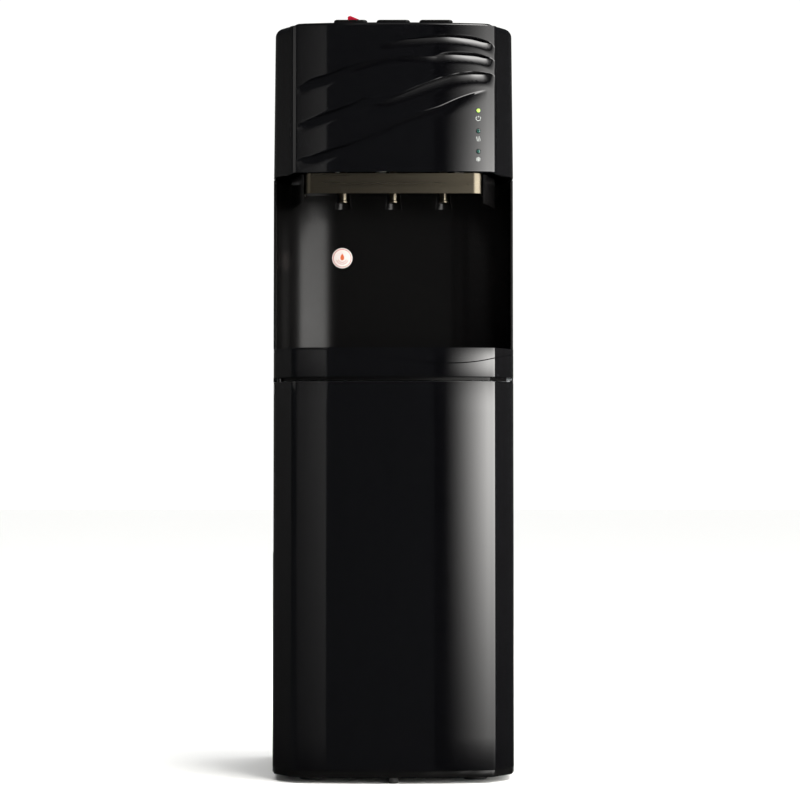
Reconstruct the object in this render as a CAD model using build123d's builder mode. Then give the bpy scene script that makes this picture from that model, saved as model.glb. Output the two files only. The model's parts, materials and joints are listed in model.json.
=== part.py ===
from build123d import *
import os

# Floor-standing water dispenser with the bottle behind a lower door.
# Millimetres, +Z up, front towards -Y, origin on the floor at the middle of the footprint.

os.makedirs("parts", exist_ok=True)

# ---- cabinet -------------------------------------------------------------------------------
body_width = 324.0
body_depth = 360.0
foot_height = 8.0
plinth_height = 9.0
door_height = 514.5
trim_height = 39.0
niche_height = 232.0
head_height = 203.0
key_rise = 8.0
gap = 0.4                 # between fixed pieces that only lie side by side
door_clearance = 0.5      # under the door
door_top_gap = 5.5        # shadow line between the door and the trim
running = 0.08            # radial clearance of a shaft in its hole

front_bow = 11.0          # how far the bowed front falls back at its corners
corner_inset = 28.5       # front corner, measured in from the side
shoulder_set = 50.0       # where the angled corner meets the side, behind the front
nose_radius = 12.0
shoulder_radius = 28.0
rear_gap = 6.0            # drain caps stand this far out of the rear panel
sheet = 1.2               # folded steel sheet
shell_wall = 3.0          # moulded outer shells
liner_wall = 2.0
seam_behind_door = 3.0

half_width = body_width / 2
front_y = -body_depth / 2
rear_skin_y = body_depth / 2 - rear_gap
corner_x = half_width - corner_inset
corner_y = front_y + front_bow
shoulder_y = front_y + shoulder_set
side_front_y = shoulder_y + 12.0
door_back_y = side_front_y - seam_behind_door
plinth_top = foot_height + plinth_height
door_bottom = plinth_top + door_clearance
door_top = door_bottom + door_height
trim_bottom = door_top + door_top_gap
trim_top = trim_bottom + trim_height
head_bottom = trim_top + niche_height
head_top = head_bottom + head_height

# ---- bottle compartment --------------------------------------------------------------------
deck_height = 7.0
bottle_diameter = 272.0
bottle_clearance = 4.0
liner_gap = 3.0           # liner to side panel
deck_top = plinth_top + deck_height
liner_half_width = half_width - sheet - liner_gap
liner_back_y = 144.0
shelf_z = trim_bottom - sheet - gap
shelf_top = shelf_z + sheet
probe_x = -116.0
probe_y = 106.0
hose_radius = 4.5

# ---- niche ---------------------------------------------------------------------------------
niche_wall = 2.2
niche_front_y = shoulder_y + 7.0
niche_half_width = half_width - sheet - niche_wall - gap
niche_flat_half = 77.0
niche_back_y = front_y + 140.0
tap_spacing = 68.0
tap_y = front_y + 60.0
nozzle_radius = 6.5
nozzle_bottom = head_bottom - 33.0
band_bottom = head_bottom - 26.0
band_half = 119.5
band_back = front_y + 48.0
tray_depth = 28.0

# ---- head ----------------------------------------------------------------------------------
panel_half_width = 138.0
panel_wall = 3.0
panel_return = 26.0       # how far its sides turn back
panel_bottom = head_bottom + 2.0
band_height = panel_bottom - gap - band_bottom
lamp_x = 113.5
lamp_top_z = head_bottom + 84.7
lamp_pitch = 27.4
lamp_radius = 2.5
key_length = 45.0
key_depth = 30.0
key_spacing = 57.5
key_y = front_y + 42.0
key_travel = 4.0
head_taper = 0.55

# ---- water system --------------------------------------------------------------------------
hot_x = -80.0
hot_y = 24.0
hot_radius = 50.0
hot_height = 130.0
cold_x = 75.0
cold_y = 24.0
cold_height = 150.0
foam = 12.0
tank_z = shelf_top + 12.0
fan_size = 92.0
fan_z = tank_z + 90.0
valve_z = head_bottom + 26.0

# ---- rear fittings -------------------------------------------------------------------------
switch_width = 13.0
switch_height = 19.0
switch_x = (-110.0, -78.0)
switch_z = head_bottom - 44.0
inlet_x = -94.0
inlet_z = head_bottom - 110.0
drain_x = (hot_x, -20.0)
drain_z = shelf_top + 20.0
spout_radius = 7.0
cap_radius = 11.5
hinge_x = -half_width + 9.0
hinge_y = door_back_y - 9.0
hinge_pin_radius = 3.0


def cabinet_plan(z, back_y, inset=0.0):
    """Plan of the cabinet: bowed front, angled corners, straight sides back to back_y."""
    far_y = body_depth
    front_margin = 10.0
    with BuildSketch(Plane.XY.offset(z)) as plan:
        with BuildLine():
            ThreePointArc((-corner_x, corner_y), (0, front_y), (corner_x, corner_y))
            Polyline(
                (corner_x, corner_y),
                (half_width, shoulder_y),
                (half_width, far_y),
                (-half_width, far_y),
                (-half_width, shoulder_y),
                (-corner_x, corner_y),
            )
        make_face()
        fillet(plan.vertices().filter_by_position(Axis.Y, corner_y - 1, corner_y + 1), nose_radius)
        shoulders = plan.vertices().filter_by_position(Axis.Y, shoulder_y - 0.5, shoulder_y + 0.5)
        fillet(shoulders, shoulder_radius)
        depth = back_y - front_y + front_margin
        with Locations((0, back_y - depth / 2)):
            Rectangle(2 * body_width, depth, mode=Mode.INTERSECT)
        if inset:
            offset(amount=-inset, kind=Kind.INTERSECTION)
    return plan.sketch


def niche_plan(z, grow=0.0):
    """Plan of the dispensing niche: a quarter ellipse each side of a flat back."""
    across = niche_half_width + grow - niche_flat_half
    deep = niche_back_y + grow - niche_front_y
    with BuildSketch(Plane.XY.offset(z)) as plan:
        with BuildLine():
            Line((-niche_flat_half - across, niche_front_y), (niche_flat_half + across, niche_front_y))
            EllipticalCenterArc((niche_flat_half, niche_front_y), across, deep, 0, arc_size=90)
            Line((niche_flat_half, niche_front_y + deep), (-niche_flat_half, niche_front_y + deep))
            EllipticalCenterArc((-niche_flat_half, niche_front_y), across, deep, 90, arc_size=90)
        make_face()
    return plan.sketch


def tray_plan(z, inset=0.0):
    """Plan of the tray area: the bowed front joined to the niche behind it."""
    with BuildSketch(Plane.XY.offset(z)) as plan:
        add(cabinet_plan(0, niche_front_y + inset, inset))
        add(niche_plan(0, -gap - inset))
    return plan.sketch


def front_arc_y(x):
    """Where the bowed front lies at x, between its two corners."""
    bow_radius = (corner_x**2 + front_bow**2) / (2 * front_bow)
    return front_y + bow_radius - (bow_radius**2 - x**2) ** 0.5


def make_base_plinth():
    with BuildPart() as base_plinth:
        extrude(cabinet_plan(foot_height, rear_skin_y - sheet - gap, inset=1.6), amount=plinth_height)
        deck_depth = rear_skin_y - sheet - gap - side_front_y - 4
        with BuildSketch(Plane.XY.offset(plinth_top)):
            with Locations((0, side_front_y + 4 + deck_depth / 2)):
                Rectangle(2 * liner_half_width - 2 * liner_wall - 2 * gap, deck_depth - 2)
        extrude(amount=deck_height)
        with BuildSketch(Plane.XY.offset(deck_top)):
            with Locations((0, 3)):
                Circle(bottle_diameter / 2 - bottle_clearance)
        extrude(amount=-4, mode=Mode.SUBTRACT)
        with BuildSketch(Plane.XY.offset(foot_height)):
            with GridLocations(220, 230, 2, 2):
                Circle(5 + running)
            with Locations((0, front_y + 14)):
                Circle(3 + running)
        extrude(amount=6, mode=Mode.SUBTRACT)
        with BuildSketch(Plane.XY.offset(plinth_top)):
            with Locations((hinge_x, hinge_y)):
                Circle(hinge_pin_radius)
        extrude(amount=-6, mode=Mode.SUBTRACT)
    base_plinth.part.label = "base_plinth"
    export_step(base_plinth.part, "parts/base_plinth.step")


def make_feet():
    """Four wide feet under the corners and one small foot in the middle of the front."""
    with BuildPart() as rubber_feet:
        with GridLocations(220, 230, 2, 2):
            Cylinder(16, foot_height, align=(Align.CENTER, Align.CENTER, Align.MIN))
        with Locations((0, front_y + 14)):
            Cylinder(7, foot_height, align=(Align.CENTER, Align.CENTER, Align.MIN))
        chamfer(rubber_feet.edges().group_by(Axis.Z)[0], 1.2)
        with Locations((0, front_y + 14)):
            Cylinder(3, foot_height + 5, align=(Align.CENTER, Align.CENTER, Align.MIN))
        with GridLocations(220, 230, 2, 2):
            Cylinder(5, foot_height + 5, align=(Align.CENTER, Align.CENTER, Align.MIN))
    rubber_feet.part.label = "rubber_feet"
    export_step(rubber_feet.part, "parts/rubber_feet.step")


def make_side_panels():
    """Folded steel sides with a flange behind the door edge and one at the rear panel."""
    low_z = foot_height + 1
    high_z = head_bottom - 2
    flange = 13.0
    flange_y = side_front_y + 4
    for side, name in ((-1, "left_side_panel"), (1, "right_side_panel")):
        with BuildPart() as side_panel:
            with BuildSketch(Plane.XY.offset(low_z)):
                with Locations((side * (half_width - sheet / 2), (side_front_y + rear_skin_y) / 2)):
                    Rectangle(sheet, rear_skin_y - side_front_y)
            extrude(amount=high_z - low_z)
            with BuildSketch(Plane.XY.offset(deck_top + 1)):
                with Locations((side * (half_width - flange / 2), flange_y + sheet / 2)):
                    Rectangle(flange, sheet)
            extrude(amount=door_top - deck_top - 20)
            with BuildSketch(Plane.XY.offset(deck_top + 1)):
                with Locations((side * (half_width - flange / 2), rear_skin_y - 1.5 * sheet - gap)):
                    Rectangle(flange, sheet)
            extrude(amount=high_z - deck_top - 1)
        side_panel.part.label = name
        export_step(side_panel.part, f"parts/{name}.step")


def make_rear_panel():
    """Flat steel back with louvre slots, a fan grille and holes for the fittings."""
    low_z = plinth_top + 1
    high_z = head_bottom - 2
    with BuildPart() as rear_panel:
        with BuildSketch(Plane.XZ.offset(-rear_skin_y)):
            with Locations((0, (low_z + high_z) / 2)):
                Rectangle(2 * (half_width - sheet - gap), high_z - low_z)
            for slot_row in range(-4, 5):
                reach = (40.0**2 - (slot_row * 9) ** 2) ** 0.5
                with Locations((cold_x, fan_z + slot_row * 9)):
                    SlotOverall(2 * reach, 5, mode=Mode.SUBTRACT)
            with Locations((0, 330)):
                with GridLocations(110, 12, 2, 12):
                    SlotOverall(84, 4, mode=Mode.SUBTRACT)
            for x in switch_x:
                with Locations((x, switch_z)):
                    Rectangle(switch_width + 2 * gap, switch_height + 2 * gap, mode=Mode.SUBTRACT)
            with Locations((inlet_x, inlet_z)):
                Rectangle(28 + 2 * gap, 21 + 2 * gap, mode=Mode.SUBTRACT)
            for x in drain_x:
                with Locations((x, drain_z)):
                    Circle(spout_radius + gap, mode=Mode.SUBTRACT)
        extrude(amount=sheet)
    rear_panel.part.label = "rear_panel"
    export_step(rear_panel.part, "parts/rear_panel.step")


def screw_spots():
    """Screws round the rear panel and up the rear of the head."""
    edge_x = half_width - 8
    spots = []
    for z in (60, 240, 420, 560, 690, head_bottom - 20):
        spots.append((-edge_x, z))
        spots.append((edge_x, z))
    return spots


def make_cabinet_screws():
    with BuildPart() as cabinet_screws:
        with BuildSketch(Plane.XZ.offset(-rear_skin_y)):
            with Locations(*screw_spots()):
                Circle(3.6)
        extrude(amount=-1.8)
        fillet(cabinet_screws.edges().group_by(Axis.Y)[-1], 1.0)
        with BuildSketch(Plane.XZ.offset(-rear_skin_y - 1.8)):
            with Locations(*screw_spots()):
                Rectangle(4, 0.9)
                Rectangle(0.9, 4)
        extrude(amount=0.9, mode=Mode.SUBTRACT)
    cabinet_screws.part.label = "cabinet_screws"
    export_step(cabinet_screws.part, "parts/cabinet_screws.step")


def make_mid_shelf():
    """Steel shelf over the bottle compartment that carries the tanks."""
    shelf_front_y = niche_front_y + 8
    shelf_back_y = rear_skin_y - 3 * sheet - 2 * gap
    with BuildPart() as mid_shelf:
        with BuildSketch(Plane.XY.offset(shelf_z)):
            with Locations((0, (shelf_front_y + shelf_back_y) / 2)):
                Rectangle(2 * (half_width - sheet - gap), shelf_back_y - shelf_front_y)
            with Locations((probe_x, probe_y)):
                Circle(hose_radius + 1.5, mode=Mode.SUBTRACT)
            for side in (-1, 1):
                with Locations((side * (half_width - 8), shelf_back_y)):
                    Rectangle(20, 8, mode=Mode.SUBTRACT)
        extrude(amount=sheet)
        with BuildSketch(Plane.XY.offset(shelf_top)):
            with Locations((hot_x, hot_y)):
                Circle(34)
                Circle(28, mode=Mode.SUBTRACT)
        extrude(amount=12)
    mid_shelf.part.label = "mid_shelf"
    export_step(mid_shelf.part, "parts/mid_shelf.step")


def make_compartment_liner():
    """Moulded liner round the bottle: two sides, a back with rounded corners and a ceiling."""
    liner_front_y = side_front_y + 4 + sheet + gap
    liner_top = shelf_z - 0.5
    middle_y = (liner_front_y + liner_back_y) / 2
    with BuildPart() as compartment_liner:
        with BuildSketch(Plane.XY.offset(deck_top + 0.5)) as liner_plan:
            with Locations((0, middle_y)):
                Rectangle(2 * liner_half_width, liner_back_y - liner_front_y)
            fillet(liner_plan.vertices().group_by(Axis.Y)[-1], 24)
        extrude(amount=liner_top - deck_top - 0.5)
        with BuildSketch(Plane.XY.offset(deck_top + 0.5)) as inner_plan:
            with Locations((0, middle_y - liner_wall)):
                Rectangle(2 * (liner_half_width - liner_wall), liner_back_y - liner_front_y)
            fillet(inner_plan.vertices().group_by(Axis.Y)[-1], 24 - liner_wall)
        extrude(amount=liner_top - deck_top - 0.5 - liner_wall, mode=Mode.SUBTRACT)
        with BuildSketch(Plane.XY.offset(liner_top)):
            with Locations((probe_x, probe_y)):
                Circle(hose_radius + 1.5)
        extrude(amount=-2 * liner_wall, mode=Mode.SUBTRACT)
    compartment_liner.part.label = "compartment_liner"
    export_step(compartment_liner.part, "parts/compartment_liner.step")


def make_niche_panel():
    niche_low = trim_bottom + 4
    niche_high = head_bottom - 3
    with BuildPart() as niche_panel:
        extrude(niche_plan(niche_low, niche_wall), amount=niche_high - niche_low)
        extrude(niche_plan(niche_low), amount=niche_high - niche_low, mode=Mode.SUBTRACT)
    niche_panel.part.label = "niche_panel"
    export_step(niche_panel.part, "parts/niche_panel.step")


def wave_region(lift):
    """The sheet above the wavy parting line of the tray, seen from the front."""
    left_x = -half_width - 1
    right_x = half_width + 1
    with BuildSketch(Plane.XZ) as region:
        with BuildLine():
            Spline(
                (left_x, trim_top - 3.0 + lift),
                (-104, trim_top - 0.9 + lift),
                (-62, trim_top - 7.2 + lift),
                (18, trim_top - 17.2 + lift),
                (68, trim_top - 20.6 + lift),
                (112, trim_top - 18.0 + lift),
                (right_x, trim_top - 7.5 + lift),
            )
            Polyline(
                (right_x, trim_top - 7.5 + lift),
                (right_x, trim_top + 5),
                (left_x, trim_top + 5),
                (left_x, trim_top - 3.0 + lift),
            )
        make_face()
    return region.sketch


def make_mid_trim():
    """Fixed fascia under the niche: a bowed wall with a floor that the drip tray drops into."""
    with BuildPart() as mid_trim:
        extrude(tray_plan(trim_bottom), amount=trim_height - 3)
        extrude(tray_plan(trim_bottom + 4, shell_wall), amount=trim_height, mode=Mode.SUBTRACT)
        with BuildSketch(Plane.XY.offset(trim_bottom)):
            with Locations((hinge_x, hinge_y)):
                Circle(hinge_pin_radius)
        extrude(amount=4, mode=Mode.SUBTRACT)
        with BuildPart(mode=Mode.PRIVATE) as skirt_space:
            extrude(wave_region(-0.5), amount=body_depth)
            extrude(cabinet_plan(trim_bottom, niche_front_y + 1), amount=trim_height + 9, mode=Mode.INTERSECT)
        add(skirt_space.part, mode=Mode.SUBTRACT)
    mid_trim.part.label = "mid_trim"
    export_step(mid_trim.part, "parts/mid_trim.step")


def make_drip_tray():
    """Lift-out tray: rim, wavy front skirt and a basin that stands on the trim's floor."""
    basin_inset = shell_wall + 1.0
    basin_bottom = trim_top - tray_depth
    with BuildPart() as drip_tray:
        extrude(tray_plan(trim_top - 2.5), amount=2.5)
        extrude(tray_plan(basin_bottom, basin_inset), amount=tray_depth - 1)
        with BuildPart(mode=Mode.PRIVATE) as skirt:
            extrude(wave_region(0), amount=body_depth)
            extrude(cabinet_plan(trim_bottom, niche_front_y), amount=trim_height, mode=Mode.INTERSECT)
        add(skirt.part)
        extrude(tray_plan(basin_bottom + 2, basin_inset + 2), amount=tray_depth, mode=Mode.SUBTRACT)
        extrude(tray_plan(trim_top - 4, basin_inset + 0.2), amount=tray_depth, mode=Mode.SUBTRACT)
    drip_tray.part.label = "drip_tray"
    export_step(drip_tray.part, "parts/drip_tray.step")


def make_drip_grille():
    grille_inset = shell_wall + 1.0 + 0.6
    with BuildPart() as drip_grille:
        extrude(tray_plan(trim_top - 4, grille_inset), amount=2.5)
        with BuildSketch(Plane.XY.offset(trim_top - 4)):
            with Locations((0, (front_y + niche_back_y) / 2)):
                with GridLocations(15, 1, 15, 1):
                    SlotOverall(86, 6, rotation=90)
        extrude(amount=2.5, mode=Mode.SUBTRACT)
    drip_grille.part.label = "drip_grille"
    export_step(drip_grille.part, "parts/drip_grille.step")


def make_door():
    boss_height = 16.0
    with BuildPart() as door_panel:
        extrude(cabinet_plan(door_bottom, door_back_y), amount=door_height)
        outer_rims = door_panel.edges().group_by(Axis.Z)[0] + door_panel.edges().group_by(Axis.Z)[-1]
        fillet(outer_rims.filter_by_position(Axis.Y, front_y - 1, door_back_y - 1), 1.0)
        hollow_height = door_height - 2 * shell_wall
        hollow = cabinet_plan(door_bottom + shell_wall, door_back_y + shell_wall, inset=shell_wall)
        extrude(hollow, amount=hollow_height, mode=Mode.SUBTRACT)
        for z in (door_bottom, door_top - boss_height):
            with BuildSketch(Plane.XY.offset(z)):
                with Locations((hinge_x, hinge_y)):
                    Circle(7.5)
            extrude(amount=boss_height)
        for z in (door_bottom, door_top - boss_height + 2):
            with BuildSketch(Plane.XY.offset(z)):
                with Locations((hinge_x, hinge_y)):
                    Circle(hinge_pin_radius + running)
            extrude(amount=boss_height - 2, mode=Mode.SUBTRACT)
    door_panel.part.label = "door_panel"
    export_step(door_panel.part, "parts/door_panel.step")

    liner_y = door_back_y - 3.5
    liner_half = half_width - shell_wall - 2
    boss_clear = 14.0
    with BuildPart() as door_liner:
        with BuildSketch(Plane.XZ.offset(-liner_y)) as liner_face:
            with Locations((boss_clear / 2, (door_bottom + door_top) / 2)):
                Rectangle(2 * liner_half - boss_clear, door_height - 2 * shell_wall - 2 * gap)
            fillet(liner_face.vertices(), 4)
        extrude(amount=liner_wall)
        with BuildSketch(Plane.XZ.offset(-liner_y + liner_wall)):
            with Locations((6, (door_bottom + door_top) / 2)):
                RectangleRounded(220, door_height - 90, 12)
                RectangleRounded(212, door_height - 98, 9, mode=Mode.SUBTRACT)
        extrude(amount=5)
    door_liner.part.label = "door_liner"
    export_step(door_liner.part, "parts/door_liner.step")


def make_door_fittings():
    pin_depth = 13.0
    with BuildPart() as door_hinge_pins:
        with Locations((hinge_x, hinge_y, plinth_top - 6)):
            Cylinder(hinge_pin_radius, 6 + pin_depth, align=(Align.CENTER, Align.CENTER, Align.MIN))
        with Locations((hinge_x, hinge_y, door_top - pin_depth)):
            pin_length = pin_depth + door_top_gap + 4
            Cylinder(hinge_pin_radius, pin_length, align=(Align.CENTER, Align.CENTER, Align.MIN))
    door_hinge_pins.part.label = "door_hinge_pins"
    export_step(door_hinge_pins.part, "parts/door_hinge_pins.step")

    strike_y = door_back_y - 3.5
    magnet_x = half_width - 24
    magnet_heights = (door_bottom + 70, door_top - 70)
    with BuildPart() as door_strikes:
        for z in magnet_heights:
            with Locations((magnet_x, strike_y + 0.6, z)):
                Box(12, 1.2, 30)
    door_strikes.part.label = "door_strikes"
    export_step(door_strikes.part, "parts/door_strikes.step")

    magnet_front = strike_y + 1.6
    magnet_back = side_front_y + 4 + sheet + gap + 6
    with BuildPart() as door_magnets:
        for z in magnet_heights:
            with Locations((magnet_x - 4, (magnet_front + magnet_back) / 2, z)):
                Box(16, magnet_back - magnet_front, 34)
        fillet(door_magnets.edges().filter_by(Axis.Y), 2)
    door_magnets.part.label = "door_magnets"
    export_step(door_magnets.part, "parts/door_magnets.step")


def make_head_shell():
    """Moulded head: a tapered box open below, with a front window for the relief panel."""
    key_window_length = key_length + 2 * gap
    with BuildPart() as head_shell:
        outer = cabinet_plan(head_bottom, rear_skin_y)
        extrude(outer, amount=head_height, taper=head_taper)
        fillet(head_shell.edges().group_by(Axis.Z)[-1], 4)
        inner = cabinet_plan(head_bottom, rear_skin_y, inset=shell_wall + 2)
        extrude(inner, amount=head_height - shell_wall, mode=Mode.SUBTRACT)
        with BuildSketch(Plane.XY.offset(head_bottom)):
            with Locations((0, front_y)):
                Rectangle(2 * (panel_half_width + gap), 2 * (panel_return + gap))
        extrude(amount=head_height - 3, mode=Mode.SUBTRACT)
        with BuildSketch(Plane.XY.offset(head_top)):
            with GridLocations(key_spacing, 1, 3, 1):
                with Locations((0, key_y)):
                    RectangleRounded(key_window_length, key_depth + 2 * gap, 6 + gap)
        extrude(amount=-2 * shell_wall, mode=Mode.SUBTRACT)
    head_shell.part.label = "head_shell"
    export_step(head_shell.part, "parts/head_shell.step")


def make_wave_panel():
    """Glossy front panel of the head, with side returns and three lamp holes."""
    panel_height = head_height - 3 - gap - 2
    with BuildPart() as wave_panel:
        extrude(cabinet_plan(panel_bottom, front_y + panel_return), amount=panel_height)
        with BuildSketch(Plane.XY.offset(panel_bottom)):
            with Locations((0, front_y)):
                Rectangle(2 * panel_half_width, 100)
        extrude(amount=panel_height, mode=Mode.INTERSECT)
        hollow = cabinet_plan(panel_bottom, front_y + 60, inset=panel_wall)
        extrude(hollow, amount=panel_height - panel_wall, mode=Mode.SUBTRACT)
        for row in range(3):
            with BuildSketch(Plane.XZ.offset(-front_y)):
                with Locations((lamp_x, lamp_top_z - row * lamp_pitch)):
                    Circle(lamp_radius + running)
            extrude(amount=-20, mode=Mode.SUBTRACT)
    wave_panel.part.label = "wave_panel"
    export_step(wave_panel.part, "parts/wave_panel.step")


def make_tap_hood():
    """Hood under the head: roof, a box behind the band, and a slanted cheek at each end."""
    box_half = 117.5
    box_front = front_y + 12.5
    box_back = front_y + 86
    cheek_front = front_y + 16
    cheek_bend = front_y + 72
    cheek_back = front_y + 106
    cheek_wall = 2.4
    cheek_start = band_half + gap
    roof_z = head_bottom - 2.6
    floor_z = band_bottom + 6
    with BuildPart() as tap_hood:
        with BuildSketch(Plane.XY.offset(floor_z)) as box_plan:
            with Locations((0, (box_front + box_back) / 2)):
                Rectangle(2 * box_half, box_back - box_front)
            fillet(box_plan.vertices().group_by(Axis.Y)[0], 11)
        extrude(amount=head_bottom - floor_z)
        with BuildSketch(Plane.XY.offset(floor_z + 2.4)) as box_hollow:
            with Locations((0, (box_front + box_back) / 2)):
                Rectangle(2 * (box_half - 2.4), box_back - box_front - 4.8)
            fillet(box_hollow.vertices().group_by(Axis.Y)[0], 8.6)
        extrude(amount=head_bottom - floor_z, mode=Mode.SUBTRACT)
        with BuildSketch(Plane.XY.offset(roof_z)):
            with BuildLine():
                Polyline(
                    (-box_half, band_back + gap),
                    (-cheek_start, band_back + gap),
                    (-cheek_start, cheek_front),
                    (-cheek_start - cheek_wall, cheek_front),
                    (-panel_half_width, cheek_bend),
                    (-panel_half_width, cheek_back),
                    (-box_half, cheek_back),
                    (-box_half, band_back + gap),
                )
            make_face()
            mirror(about=Plane.YZ)
        extrude(amount=head_bottom - roof_z)
        with BuildSketch(Plane.XY.offset(band_bottom - 13)):
            with BuildLine():
                Polyline(
                    (-cheek_start - cheek_wall, cheek_front),
                    (-panel_half_width, cheek_bend),
                    (-panel_half_width, cheek_back),
                    (-panel_half_width + cheek_wall, cheek_back),
                    (-panel_half_width + cheek_wall, cheek_bend + 0.6),
                    (-cheek_start, cheek_front),
                    (-cheek_start - cheek_wall, cheek_front),
                )
            make_face()
            mirror(about=Plane.YZ)
        extrude(amount=head_bottom - band_bottom + 13)
        with BuildSketch(Plane.XY.offset(floor_z)):
            with GridLocations(tap_spacing, 1, 3, 1):
                with Locations((0, tap_y)):
                    Circle(nozzle_radius - 1.5 + gap)
        extrude(amount=4, mode=Mode.SUBTRACT)
    tap_hood.part.label = "tap_hood"
    export_step(tap_hood.part, "parts/tap_hood.step")


def make_trim_band():
    """Smoked band across the front of the tap hood, wrapped round both ends."""
    band_wall = 1.4
    band_front = front_y + 10.5
    band_depth = band_back - band_front
    with BuildPart() as trim_band:
        with BuildSketch(Plane.XY.offset(band_bottom)) as band_plan:
            with Locations((0, band_front + band_depth / 2)):
                Rectangle(2 * band_half, band_depth)
            fillet(band_plan.vertices().group_by(Axis.Y)[0], 13)
        extrude(amount=band_height)
        with BuildSketch(Plane.XY.offset(band_bottom)) as band_hollow:
            with Locations((0, band_front + band_depth / 2 + band_wall)):
                Rectangle(2 * (band_half - band_wall), band_depth)
            fillet(band_hollow.vertices().group_by(Axis.Y)[0], 13 - band_wall)
        extrude(amount=band_height, mode=Mode.SUBTRACT)
    trim_band.part.label = "trim_band"
    export_step(trim_band.part, "parts/trim_band.step")


def make_taps():
    """Three nozzles hanging through the hood, and a flared guard behind each."""
    floor_z = band_bottom + 6
    with BuildPart() as tap_nozzles:
        with BuildSketch(Plane.XZ.offset(-tap_y)):
            with BuildLine():
                Polyline(
                    (0, nozzle_bottom),
                    (nozzle_radius, nozzle_bottom),
                    (nozzle_radius, nozzle_bottom + 2.2),
                    (nozzle_radius - 1.3, nozzle_bottom + 3.2),
                    (nozzle_radius - 0.7, floor_z),
                    (nozzle_radius - 1.5, floor_z),
                    (nozzle_radius - 1.5, valve_z - 12),
                    (0, valve_z - 12),
                    (0, nozzle_bottom),
                )
            make_face()
        revolve(axis=Axis((0, tap_y, 0), (0, 0, 1)))
        with Locations((0, tap_y, nozzle_bottom)):
            Cylinder(3.2, 14, align=(Align.CENTER, Align.CENTER, Align.MIN), mode=Mode.SUBTRACT)
        nozzle = tap_nozzles.part
        add(nozzle.moved(Location((-tap_spacing, 0, 0))))
        add(nozzle.moved(Location((tap_spacing, 0, 0))))
    tap_nozzles.part.label = "tap_nozzles"
    export_step(tap_nozzles.part, "parts/tap_nozzles.step")

    guard_bottom = nozzle_bottom - 8
    with BuildPart() as nozzle_guards:
        with GridLocations(tap_spacing, 1, 3, 1):
            with Locations((0, tap_y, guard_bottom)):
                Cone(11.5, 9.6, floor_z - guard_bottom, align=(Align.CENTER, Align.CENTER, Align.MIN))
                Cone(
                    10.1,
                    8.2,
                    floor_z - guard_bottom,
                    align=(Align.CENTER, Align.CENTER, Align.MIN),
                    mode=Mode.SUBTRACT,
                )
        with Locations((0, tap_y - 20, guard_bottom)):
            Box(300, 40, 60, mode=Mode.SUBTRACT)
    nozzle_guards.part.label = "nozzle_guards"
    export_step(nozzle_guards.part, "parts/nozzle_guards.step")


def make_keys():
    """Three push keys on springs, each with a stem that reaches a microswitch."""
    key_height = 11.0
    key_top = head_top + key_rise
    key_low = key_top - key_height
    stem_bottom = key_low - 16
    for column, name in ((-1, "hot_key"), (0, "room_key"), (1, "cold_key")):
        key_x = column * key_spacing
        with BuildPart() as key:
            with BuildSketch(Plane.XY.offset(key_low)):
                with Locations((key_x, key_y)):
                    RectangleRounded(key_length, key_depth, 6)
            extrude(amount=key_height)
            fillet(key.edges().group_by(Axis.Z)[-1], 2.5)
            if name == "hot_key":
                with Locations((key_x - 1, key_y, key_top - 3.2)):
                    Box(34, 9.4, 10, align=(Align.CENTER, Align.CENTER, Align.MIN), mode=Mode.SUBTRACT)
            with Locations((key_x, key_y, stem_bottom)):
                Cylinder(3.5, key_low - stem_bottom, align=(Align.CENTER, Align.CENTER, Align.MIN))
        key.part.label = name
        export_step(key.part, f"parts/{name}.step")

        spring_name = name + "_spring"
        bracket_top = stem_bottom + 5
        with BuildPart() as key_spring:
            with BuildLine() as coil:
                Helix(3.1, key_low - bracket_top - 1.2, 5.4, center=(key_x, key_y, bracket_top + 0.6))
            with BuildSketch(Plane(coil.line @ 0, z_dir=coil.line % 0)):
                Circle(0.5)
            sweep(path=coil.line, is_frenet=True)
        key_spring.part.label = spring_name
        export_step(key_spring.part, f"parts/{spring_name}.step")


def make_child_lock():
    """Red slider in the hot key: a wedge that is pinched and pushed sideways."""
    key_top = head_top + key_rise
    lock_low = key_top - 3.0
    lock_left = -key_spacing - 4.0
    lock_length = 18.5
    with BuildPart() as child_lock:
        with BuildSketch(Plane.XZ.offset(-(key_y + 4.5))):
            with BuildLine():
                Polyline(
                    (lock_left, lock_low),
                    (lock_left + lock_length, lock_low),
                    (lock_left + lock_length, key_top + 0.6),
                    (lock_left + 3.2, key_top + 7.0),
                    (lock_left, key_top + 5.6),
                    (lock_left, lock_low),
                )
            make_face()
        extrude(amount=9.0)
        fillet(child_lock.edges().group_by(Axis.Z)[-1], 0.6)
    child_lock.part.label = "child_lock"
    export_step(child_lock.part, "parts/child_lock.step")


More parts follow.
